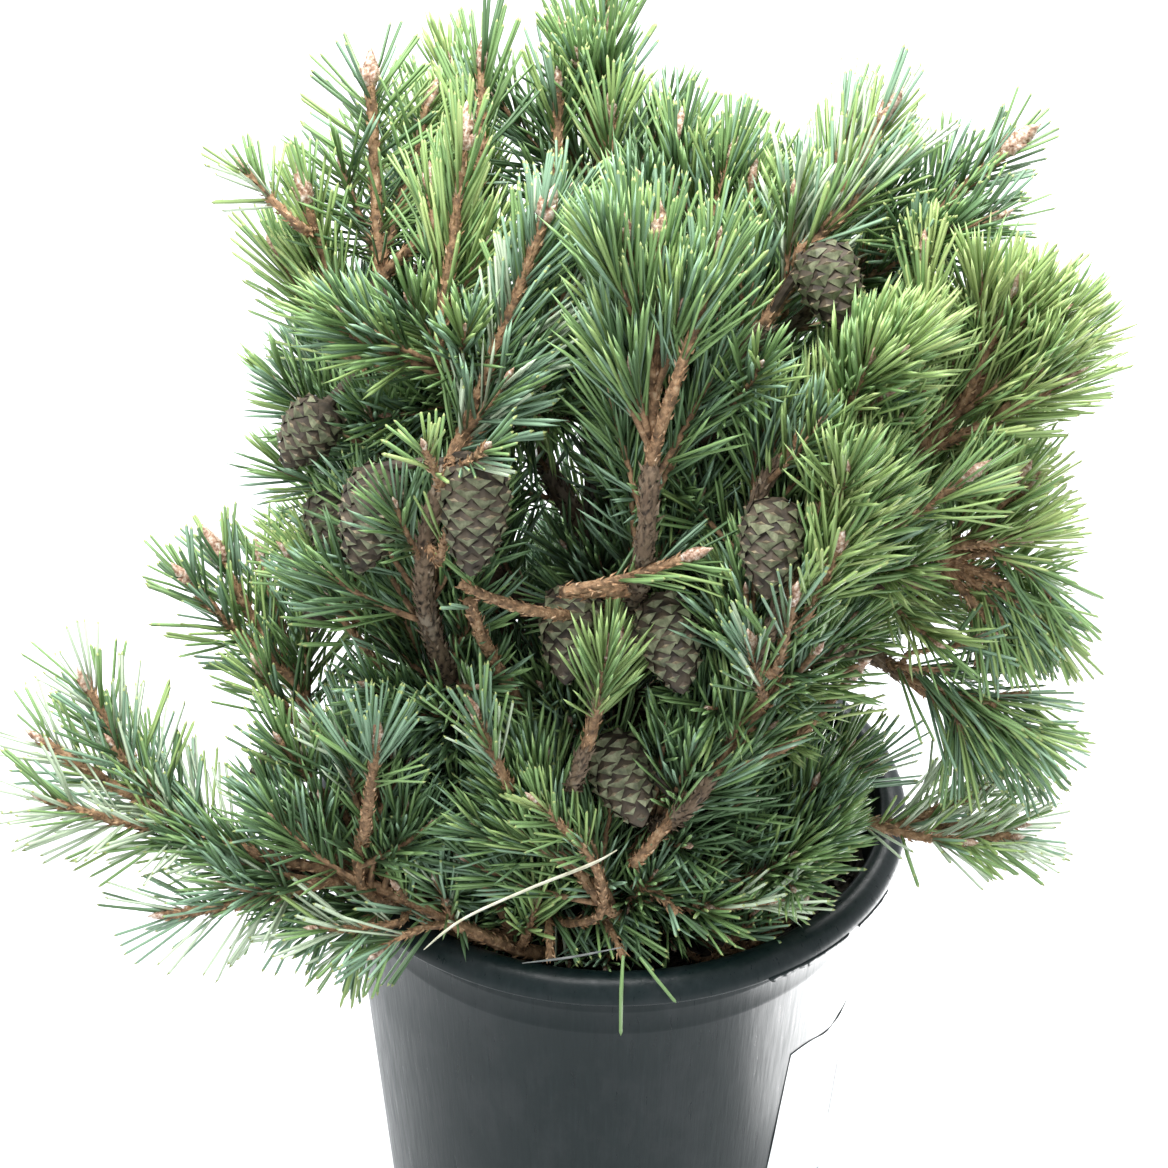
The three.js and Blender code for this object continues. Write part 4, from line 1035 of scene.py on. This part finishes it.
def pairs_on(shoot):
    """The needle pairs of one shoot: their feet, directions, partner directions, lengths and bend."""
    clothed, low_lean, tip_lean, needle, crowd, rising = shoot["form"]
    start = shoot["bare"] + (1 - shoot["bare"]) * clothed
    count = int(length_of(shoot["line"]) * (1 - start) * crowd)
    share = ((np.arange(count) + dice.random(count)) / count) ** 0.85
    at = start + (1 - start) * share
    ahead, outward = spiral(shoot["line"], at, GOLDEN * np.arange(count) + dice.normal(0, 0.3, count))
    lean = np.radians(low_lean + (tip_lean - low_lean) * share**1.3 + dice.normal(0, 5, count))[:, None]
    direction = unit(ahead * np.cos(lean) + outward * np.sin(lean) + UP * rising + dice.normal(0, 0.05, (count, 3)))
    length = needle * (1 - 0.2 * share**2) * dice.uniform(0.84, 1.1, count)
    foot = point_on(shoot["line"], at) + outward * (tapering(*shoot["radii"])(at) * 0.7)[:, None]
    lie = dice.random(count) * math.pi
    level = unit(np.cross(direction, outward))
    partner = level * np.cos(lie)[:, None] + np.cross(direction, level) * np.sin(lie)[:, None]

    low, high = reach_boxes[shoot["owner"]]
    past = REACH_BEYOND.get(NAMES[shoot["owner"]], REACH_ELSE)
    tip = foot + direction * length[:, None]
    over = np.maximum(low - (past, past, REACH_DOWN) - tip, tip - high - past).max(1)
    if shoot["rank"] < 3:
        length = np.where(over > 0, np.maximum(length - over * 1.2, 0), length)
    tip = foot + direction * length[:, None]
    middle = foot + direction * length[:, None] * 0.5
    fits = (length > NEEDLE_SHORTEST) & ~over_rim(tip) & ~over_rim(middle)
    fits &= clear_of_pot(tip, 1) & clear_of_pot(middle, 1) & clear_of_cones(tip, 0) & clear_of_cones(middle, 0)
    if shoot["rank"] < 2:
        fits &= (outward @ TO_CAMERA < 0.3) | (dice.random(count) < FACING_KEPT[shoot["rank"]])
    if shoot["form"] in OWN_FORMS:
        fits &= ~hides_stem(middle) | (dice.random(count) < OWN_CROSSED)
    else:
        hiding = hides_stem(tip) | hides_stem(middle) | hides_stem(foot * 0.3 + tip * 0.7)
        fits &= ~hiding | (dice.random(count) < SHOWN_CROSSED)
    bow = (ahead * 0.35 + dice.normal(0, 0.35, (count, 3))) * (0.08 * length)[:, None]
    return [part[fits] for part in (foot, direction, partner, length, bow)]


def needle_array(foot, direction, away, length, bow, stations, widths):
    """Needles as slim three-sided blades, with a ring of corners at each station, a point and a ridge that way."""
    ridge = unit(away - direction * (away * direction).sum(1, keepdims=True))
    broad = np.cross(direction, ridge)
    corners = []
    for station, width in zip(stations, widths):
        centre = foot + direction * (length * station)[:, None] + bow * station**2
        half = broad * (NEEDLE_WIDTH * width / 2)
        corners += [centre - half, centre + half, centre + ridge * NEEDLE_THICKNESS * width]
    return np.stack([*corners, foot + direction * length[:, None] + bow], 1)


def needle_faces(stations):
    last = 3 * len(stations)
    return np.concatenate([[(0, 1, 2)], sleeve(len(stations), 3), fan(last, np.arange(last - 3, last))[:, [1, 0, 2]]])


# Where the rings of a needle stand along it and how broad it is there. Those that the sun reaches have one ring more
# and a yellow point.
SUNLIT, PLAIN = ((0.0, 0.45, 0.95), (0.72, 1.0, 0.88)), ((0.0, 0.78), (0.8, 1.0))

dice = np.random.default_rng(29)
needles = {(tint, kind): [] for tint in NEEDLE_COLOURS for kind in ("sunlit", "shaded")}
sheaths = []
for shoot in shoots:
    foot, direction, partner, length, bow = pairs_on(shoot)
    if shoot["rank"] < 3:
        sheaths.append((foot, direction, partner))
    near = np.array(NEAR_COLOURS[shoot["tint"]])[dice.integers(0, 6, len(foot))]
    sunlit = shoot["rank"] < 2 and not NAMES[shoot["owner"]].startswith("back")
    for turn in (-1, 1):
        points = needle_array(
            foot + partner * turn * 0.35, unit(direction + partner * turn * 0.06), partner * turn,
            length * dice.uniform(0.94, 1.0, len(length)), bow + partner * (turn * 0.02 * length)[:, None],
            *(SUNLIT if sunlit else PLAIN))
        for tint in NEEDLE_COLOURS:
            needles[tint, "sunlit" if sunlit else "shaded"].append(points[near == tint])

tip_finish = Finish("needle_points", 0.5).colour((0.3, 0.36, 0.13))
for tint, colour in NEEDLE_COLOURS.items():
    leaf = Finish(f"needles_{tint}", 0.42, 0.45).colour(colour)
    for kind, (stations, _) in (("sunlit", SUNLIT), ("shaded", PLAIN)):
        points, faces = np.concatenate(needles[tint, kind]), needle_faces(stations)
        pointed = np.arange(len(faces)) >= len(faces) - 3 if kind == "sunlit" else np.zeros(len(faces))
        per_piece = MOST_TRIANGLES // len(faces)
        for part, start in enumerate(range(0, len(points), per_piece), 1):
            batch = points[start:start + per_piece]
            step = batch.shape[1] * np.arange(len(batch))[:, None, None]
            piece = mesh_piece(f"needles_{tint}_{kind}_{part}", batch, faces[None] + step,
                               [leaf.material, tip_finish.material], True, np.tile(pointed, len(batch)))
            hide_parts(*MASS_NODES)
            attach(piece, "root")


# ---------------------------------------------------------------- twig wood
# Young pine wood is orange-brown and rough with dry scales, one under each needle pair. The twigs are slim tubes
# joined into one piece, and the sheaths that hold the pairs are small dry scales along them.

def tube(line, girth_at, sides, spacing, relief):
    """A closed tube along a line whose surface stands out by `relief`, worked out from bearing and run."""
    length = length_of(line)
    count = max(3, int(length / spacing) + 1)
    at = np.linspace(0, 1, count)
    _, side, across = frames_along(line, at)
    turn = 2 * math.pi * np.arange(sides) / sides
    height = relief(turn[None, :], (at * length)[:, None])
    radius = np.asarray(girth_at(at))[:, None] + height
    ring = side[:, None] * np.cos(turn)[None, :, None] + across[:, None] * np.sin(turn)[None, :, None]
    points = (point_on(line, at)[:, None] + ring * radius[..., None]).reshape(-1, 3)
    ends = [line[0], line[-1] + heading_on(line, 1.0) * girth_at(1.0) * 0.6]
    faces = np.concatenate([
        sleeve(count, sides)[:, ::-1], fan(count * sides, np.arange(sides))[:, ::-1],
        fan(count * sides + 1, (count - 1) * sides + np.arange(sides))])
    return np.concatenate([points, ends]), faces, np.concatenate([height.ravel(), [0, 0]])


def scaly(depth, rise):
    """Small raised cushions where two sets of spirals cross, as on young pine wood."""
    def relief(turn, run):
        crossing = np.sin(3 * turn + run / rise) * np.sin(5 * turn - run / (rise * 0.8))
        return depth * (np.abs(crossing) ** 0.5 - 0.5)
    return relief


# How finely a twig of each rank is made: its sides, the millimetres between its rings and the height of its scales.
TWIG_MAKE = ((7, 3, 1.0), (6, 3.6, 0.8), (5, 6, 0.4), (4, 8, 0.3))

twig_parts = []
for shoot in shoots:
    sides, spacing, depth = TWIG_MAKE[shoot["rank"]]
    twig_parts.append(tube(shoot["line"], tapering(*shoot["radii"]), sides, spacing, scaly(depth, 1.6))[:2])

young = Finish("young_pine_wood", 0.8)
young.clouded(260, 5, [
    (0.3, (0.05, 0.028, 0.015)), (0.44, (0.16, 0.092, 0.046)), (0.58, (0.32, 0.19, 0.1)), (0.74, (0.5, 0.37, 0.24))],
    0.65)
young.grained(1400, 3, 0.6, 0.5)
twigs = mesh_piece("twigs", *joined(twig_parts), [young.material])
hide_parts(*MASS_NODES)
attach(twigs, "root")

foot, direction, partner = (np.concatenate(part) for part in zip(*sheaths))
level = unit(np.cross(direction, partner))
sheath_points = np.array([(-1.0, -0.6, -0.5), (1.0, -0.6, -0.5), (0, 1.0, -0.5), (0, 0.1, 4.2)])
sheath_faces = np.array([(0, 2, 1), (0, 1, 3), (1, 2, 3), (2, 0, 3)])
sheath_mesh = copies(sheath_points, sheath_faces, foot, np.stack([partner, level, direction], 1))
dry = Finish("dry_sheaths", 0.75)
dry.clouded(300, 2, [(0.35, (0.16, 0.09, 0.05)), (0.6, (0.38, 0.28, 0.19))])
piece = mesh_piece("needle_sheaths", *sheath_mesh, [dry.material], smooth=False)
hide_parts(*MASS_NODES)
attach(piece, "root")

# Where needles have dropped, the dry scales that bore them stay on the stem and make it shaggy.
dice = np.random.default_rng(53)
scale_points = np.array([(-0.75, -0.4, 0), (0.75, -0.4, 0), (0, 0.75, 0.4), (0, 1.15, 3.3)])
scale_faces = np.array([(0, 1, 2), (0, 3, 1), (1, 3, 2), (2, 3, 0)])


def scales_on(stems, crowd, size):
    """Dry scales in a spiral up each stem, so many to a millimetre, with their points standing off."""
    places, axes = [], []
    for line, girth_at in stems:
        count = int(length_of(line) * crowd)
        at = (np.arange(count) + dice.random(count)) / count
        ahead, outward = spiral(line, at, GOLDEN * np.arange(count) + dice.normal(0, 0.25, count))
        ahead = unit(ahead + dice.normal(0, 0.16, (count, 3)))
        grown = size * dice.uniform(0.7, 1.3, count)[:, None]
        axes.append(np.stack([np.cross(outward, ahead) * grown, outward * grown, ahead * grown], 1))
        places.append(point_on(line, at) + outward * (np.asarray(girth_at(at)) * 0.94)[:, None])
    return copies(scale_points, scale_faces, np.concatenate(places), np.concatenate(axes))


papery = Finish("papery_stem_scales", 0.8)
papery.clouded(340, 3, [
    (0.32, (0.11, 0.055, 0.027)), (0.48, (0.3, 0.165, 0.08)), (0.62, (0.48, 0.31, 0.18)), (0.76, (0.62, 0.52, 0.39))],
    0.6)
stems = [(shoot["line"], tapering(*shoot["radii"])) for shoot in shoots if shoot["rank"] < 2]
stem_scales = mesh_piece("stem_scales", *scales_on(stems, 1.2, 1.0), [papery.material], smooth=False)
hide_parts(*MASS_NODES)
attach(stem_scales, "root")

weathered = Finish("weathered_bough_scales", 0.85)
weathered.clouded(220, 4, [
    (0.3, (0.04, 0.026, 0.017)), (0.5, (0.13, 0.088, 0.055)), (0.66, (0.25, 0.19, 0.13)), (0.8, (0.33, 0.29, 0.23))],
    0.6)
bough_scales = mesh_piece(
    "bough_scales", *scales_on([limbs[name] for name in BOUGHS], 2.0, 1.35), [weathered.material], smooth=False)
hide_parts(*BOUGH_NODES)
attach(bough_scales, "root")


# ---------------------------------------------------------------- trunk and boughs
# Old wood is grey-brown under flaking plates of bark, large on the trunk and small and thin on the boughs. The
# trunk spreads at its foot, and the lowest share of its line, UNDERGROUND, is left out because it is in the compost.

UNDERGROUND = 0.03
TRUNK_PLATES, BOUGH_PLATES = 1.6, 0.9
TRUNK_SIDES, BOUGH_SIDES, BARK_SPACING = 40, 18, 2.0


def plated(depth, width, tall, seed):
    """Flat plates of bark parted by cracks: each point takes the height of the nearest plate and dips at its edge."""
    own = np.random.default_rng(seed)
    across, along = max(4, int(round(2 * math.pi / width))), 90
    offset = own.random((along, across, 2))
    raised = own.random((along, across))

    def relief(turn, run):
        column, row = turn / (2 * math.pi) * across, run / tall
        nearest, second, height = (np.full(np.broadcast(column, row).shape, value) for value in (9.0, 9.0, 0.0))
        for over in (-1, 0, 1):
            for up in (-1, 0, 1):
                cell_column, cell_row = np.floor(column) + over, np.floor(row) + up
                key = (cell_row.astype(int) % along), (cell_column.astype(int) % across)
                gap = np.hypot(column - cell_column - offset[(*key, 0)], row - cell_row - offset[(*key, 1)])
                closer = gap < nearest
                second = np.where(closer, nearest, np.minimum(second, gap))
                height = np.where(closer, raised[key], height)
                nearest = np.where(closer, gap, nearest)
        edge = np.clip((second - nearest) * 3.2, 0, 1)
        return depth * (edge * (0.55 + 0.45 * height) - 0.6)
    return relief


def bark_finish(name, crack, low, high, lichen):
    """Bark that is dark in its cracks, with grey bloom on the plates."""
    bark = Finish(name, 0.88)
    mottled = bark.ramp(bark.noise(90, 5, roughness=0.6), [(0.35, low), (0.65, high)])
    bloomed = bark.mix(bark.ramp(bark.noise(45, 4), [(0.52, 0.0), (0.7, 0.7)]), mottled, lichen)
    bark.colour(bark.mix(bark.ramp(bark.attribute("relief"), [(0.15, 0.0), (0.55, 1.0)]), crack, bloomed))
    return bark.grained(700, 5, 0.6, 0.7)


def wood_piece(name, parts, finish, deepest):
    points, faces = joined([part[:2] for part in parts])
    piece = mesh_piece(name, points, faces, [finish.material])
    relief = np.clip(np.concatenate([part[2] for part in parts]) / deepest + 0.6, 0, 1)
    piece.data.attributes.new("relief", "FLOAT", "POINT").data.foreach_set("value", relief)
    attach(piece, "root")
    return piece


trunk_line = limbs["trunk"][0]
trunk_part = tube(
    trunk_line[int(STATIONS * UNDERGROUND):], lambda at: trunk_girth(UNDERGROUND + (1 - UNDERGROUND) * at), TRUNK_SIDES,
    BARK_SPACING, plated(TRUNK_PLATES, 0.55, 11, 3))
old_bark = bark_finish(
    "old_pine_bark", (0.022, 0.016, 0.012), (0.1, 0.07, 0.05), (0.2, 0.15, 0.11), (0.27, 0.26, 0.23))
trunk = wood_piece("trunk_bark", [trunk_part], old_bark, TRUNK_PLATES)
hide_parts("trunk")

bough_parts = [tube(*limbs[name], BOUGH_SIDES, BARK_SPACING, plated(BOUGH_PLATES, 0.9, 5.5, seed))
               for seed, name in enumerate(BOUGHS)]
bough_bark = bark_finish("bough_bark", (0.03, 0.02, 0.013), (0.1, 0.065, 0.04), (0.2, 0.14, 0.09), (0.26, 0.23, 0.18))
boughs = wood_piece("bough_bark", bough_parts, bough_bark, BOUGH_PLATES)
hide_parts(*BOUGH_NODES)


# ---------------------------------------------------------------- buds
# Each shoot ends in a pointed bud of overlapping pinkish scales crusted with pale resin. Smaller buds stand round it,
# most of them on the leading shoots high in the crown.

BUD_RINGS = [(0.0, 0.55), (0.18, 0.95), (0.3, 0.82), (0.45, 1.0), (0.58, 0.78), (0.74, 0.62), (0.9, 0.3)]
BUD_SIDES = 6
BUD_SIZES, BUD_COUNTS = (1.0, 0.72, 0.45, 0.36), (6, 3, 1, 1)
MIDDLE_BUD, SIDE_BUD = (17, 4.2), (10, 2.7)
BIG_BUDS_ABOVE = 430

turn = 2 * math.pi * np.arange(BUD_SIDES) / BUD_SIDES
bud_points = np.concatenate([
    np.stack([wide * np.cos(turn + 0.4 * ring), wide * np.sin(turn + 0.4 * ring), np.full(BUD_SIDES, up)], 1)
    for ring, (up, wide) in enumerate(BUD_RINGS)] + [np.array([[0, 0, 1.08], [0, 0, -0.1]])])
hub = len(BUD_RINGS) * BUD_SIDES
bud_faces = np.concatenate([
    sleeve(len(BUD_RINGS), BUD_SIDES)[:, ::-1], fan(hub, np.arange(hub - BUD_SIDES, hub)),
    fan(hub + 1, np.arange(BUD_SIDES))[:, ::-1]])

dice = np.random.default_rng(41)
bud_origins, bud_axes = [], []
for shoot in shoots:
    if shoot["form"] in (STUB, HANGING):
        continue
    end, ahead = shoot["line"][-1], heading_on(shoot["line"], 1.0)
    small = shoot["form"] is SHORT or end[2] < BIG_BUDS_ABOVE
    kind = max(shoot["rank"], 2) if small else shoot["rank"]
    for number in range(BUD_COUNTS[kind]):
        lean = 6 * dice.random() if number == 0 else dice.uniform(16, 32)
        axis = leaning(ahead, lean, GOLDEN_TURN * number + 50 * dice.random())
        side = unit(np.cross(axis, (0.3, 0.5, 0.8)))
        long, wide = SIDE_BUD if number else MIDDLE_BUD
        grown = BUD_SIZES[kind] * dice.uniform(0.85, 1.15)
        bud_axes.append(np.stack([side * wide, np.cross(axis, side) * wide, axis * long]) * grown)
        bud_origins.append(end + ahead * (-1.0 if number else 0.5))
resinous = Finish("resinous_buds", 0.6)
resinous.clouded(520, 3, [
    (0.34, (0.16, 0.08, 0.05)), (0.46, (0.4, 0.24, 0.16)), (0.58, (0.6, 0.46, 0.37)), (0.7, (0.82, 0.77, 0.7))], 0.6)
resinous.grained(1800, 2, 0.5, 0.4)
buds = mesh_piece("buds", *copies(bud_points, bud_faces, np.array(bud_origins), np.array(bud_axes)),
                  [resinous.material])
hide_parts(*MASS_NODES)
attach(buds, "root")


# ---------------------------------------------------------------- cones
# Closed woody cones hang on short stalks. Their scales overlap in spirals, and each shows a rhombic face with a ridge
# across it, sage grey-green above and brown below, and a small tan boss in the middle.

CONE_OUTLINE = np.array([
    (-0.5, 0.06), (-0.46, 0.3), (-0.36, 0.43), (-0.2, 0.5), (0.0, 0.48), (0.24, 0.37), (0.42, 0.2), (0.5, 0.07)]).T
SCALES = 72

# The face of one scale, x across, y towards the cone's point and z outwards.
scale_face_points = np.array([
    (-0.6, 0, 0), (0, -0.62, -0.18), (0.6, 0, 0), (0, 0.62, 0.02),
    (-0.26, 0.02, 0.24), (0.26, 0.02, 0.24), (0, 0.14, 0.34), (0, -0.1, 0.26), (0, 0.04, 0.5), (0, 0, -0.4)])
scale_face_faces = np.array([
    (0, 4, 3), (4, 6, 3), (6, 5, 3), (5, 2, 3), (0, 1, 4), (4, 1, 7), (7, 1, 5), (5, 1, 2),
    (4, 8, 6), (6, 8, 5), (7, 8, 4), (5, 8, 7), (0, 3, 9), (3, 2, 9), (2, 1, 9), (1, 0, 9)])


def no_relief(turn, run):
    return np.zeros(np.broadcast(turn, run).shape)


FACE, UNDERSIDE, BOSS = 0, 1, 2
face_kinds = [FACE] * 4 + [UNDERSIDE] * 4 + [BOSS] * 4 + [UNDERSIDE] * 4

fine_along = np.linspace(-0.495, 0.495, 200)
fine_radius = np.interp(fine_along, *CONE_OUTLINE)
area = np.cumsum(fine_radius**0.8)
cone_parts, cone_kinds = [], []
for seed, (name, at, seat, aim, cone_length, cone_width) in enumerate(CONES):
    own = np.random.default_rng(60 + seed)
    middle, axis = place(*seat), aim_of(*aim)
    side = unit(np.cross(axis, (0.2, 0.1, 0.9)))
    across = np.cross(axis, side)
    count = int(SCALES * (cone_length / 50) ** 0.6)
    along = np.interp((np.arange(count) + 0.5) / count * area[-1], area, fine_along)
    radius = np.interp(along, *CONE_OUTLINE) * cone_width
    slope = np.interp(along, fine_along, np.gradient(fine_radius * cone_width, fine_along * cone_length))[:, None]
    turn = GOLDEN * np.arange(count)
    outward = side * np.cos(turn)[:, None] + across * np.sin(turn)[:, None]
    tangent = unit(axis + outward * slope + own.normal(0, 0.1, (count, 3)))
    normal = unit(outward - axis * slope)
    width = (np.clip(radius * 0.7, 1.6, 9.6) * own.uniform(0.9, 1.1, count))[:, None]
    axes = np.stack([
        np.cross(tangent, normal) * width, tangent * (width * 0.82), unit(normal - tangent * 0.2) * (width * 0.62)], 1)
    origins = middle + axis * (along * cone_length)[:, None] + outward * (radius - 0.7)[:, None]
    core = bezier(middle - axis * cone_length * 0.49, middle, middle + axis * cone_length * 0.47)
    stem = masses[NAMES.index(name)]["stem"]
    top = middle - axis * cone_length * 0.46
    stalk = bezier(point_on(stem, at), (point_on(stem, at) + top) / 2 - axis * 2, top)
    parts = [
        copies(scale_face_points, scale_face_faces, origins, axes),
        tube(core, lambda u: np.interp(u - 0.5, *CONE_OUTLINE) * cone_width * 0.93, 14, 3, no_relief)[:2],
        tube(stalk, tapering(1.9, 2.6), 8, 2, scaly(0.4, 1.6))[:2]]
    cone_parts += parts
    cone_kinds += face_kinds * count + [UNDERSIDE] * (len(parts[1][1]) + len(parts[2][1]))

upper = Finish("cone_scale_faces", 0.62)
upper.clouded(190, 4, [
    (0.3, (0.045, 0.05, 0.026)), (0.48, (0.12, 0.13, 0.07)), (0.7, (0.27, 0.28, 0.17))], 0.6)
upper.grained(900, 3, 0.4, 0.3)
under = Finish("cone_scale_undersides", 0.75)
under.clouded(160, 4, [(0.35, (0.02, 0.014, 0.009)), (0.65, (0.075, 0.055, 0.035))])
boss = Finish("cone_scale_bosses", 0.6)
boss.clouded(300, 2, [(0.4, (0.09, 0.07, 0.04)), (0.65, (0.22, 0.18, 0.11))])
cones = mesh_piece("cones", *joined(cone_parts), [upper.material, under.material, boss.material], False, cone_kinds)
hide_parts(*["mass_" + row[0] for row in CONES])
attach(cones, "root")


# ---------------------------------------------------------------- dry strips
# A long pale blade of straw and a short grey one have fallen across the front of the rim and lie on the needles, and
# two loose pine needles hang over it.

STRAW = [(240.9, 174, 348), (243.7, 170.6, 359), (246.6, 165.6, 367), (255.9, 152.6, 381), (267, 142.2, 392),
         (270.4, 139, 396)]
GREY_BLADE = [(254.6, 153.5, 337), (263, 150.1, 342), (271.4, 148, 347)]
STRAY_NEEDLES = [((271.9, 141.1, 336), (271, 149, 294.5)), ((275, 141.5, 335), (280.9, 149.7, 312.6))]
BLADE_THICKNESS, POINT_LENGTH, TWIST = 0.44, 14, 0.008


def blade(corners, width):
    """A flat blade along the corners, with a slow twist and a point at both ends."""
    line = through([place(*corner) for corner in corners])
    whole = length_of(line)

    def relief(turn, run):
        taper = np.clip(np.minimum(run, whole - run) / POINT_LENGTH, 0.15, 1)
        return width / 2 * np.abs(np.cos(turn + 0.5 + run * TWIST)) ** 2 * taper
    return tube(line, lambda at: BLADE_THICKNESS / 2 + 0 * at, 10, 3, relief)[:2]


for name, corners, width, dark, light in (
        ("straw_blade", STRAW, 2.3, (0.5, 0.48, 0.34), (0.78, 0.77, 0.62)),
        ("grey_blade", GREY_BLADE, 2.0, (0.09, 0.1, 0.1), (0.2, 0.21, 0.2))):
    faded = Finish(name, 0.55)
    faded.clouded(160, 3, [(0.35, dark), (0.65, light)]).grained(900, 2, 0.3, 0.2)
    piece = mesh_piece(name, *blade(corners, width), [faded.material])
    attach(piece, "root")

starts, ends = (np.array([place(*spot) for spot in spots]) for spots in zip(*STRAY_NEEDLES))
run = np.linalg.norm(ends - starts, axis=1)
heading = unit(ends - starts)
flat = unit(np.cross(heading, (0, 1, 0)))
points = needle_array(starts, heading, np.cross(flat, heading), run, flat * 0.04 * run[:, None], *SUNLIT)
step = points.shape[1] * np.arange(len(points))[:, None, None]
stray = mesh_piece("stray_needles", points, needle_faces(SUNLIT[0]) + step, [bpy.data.materials["needles_mid"]])
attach(stray, "root")
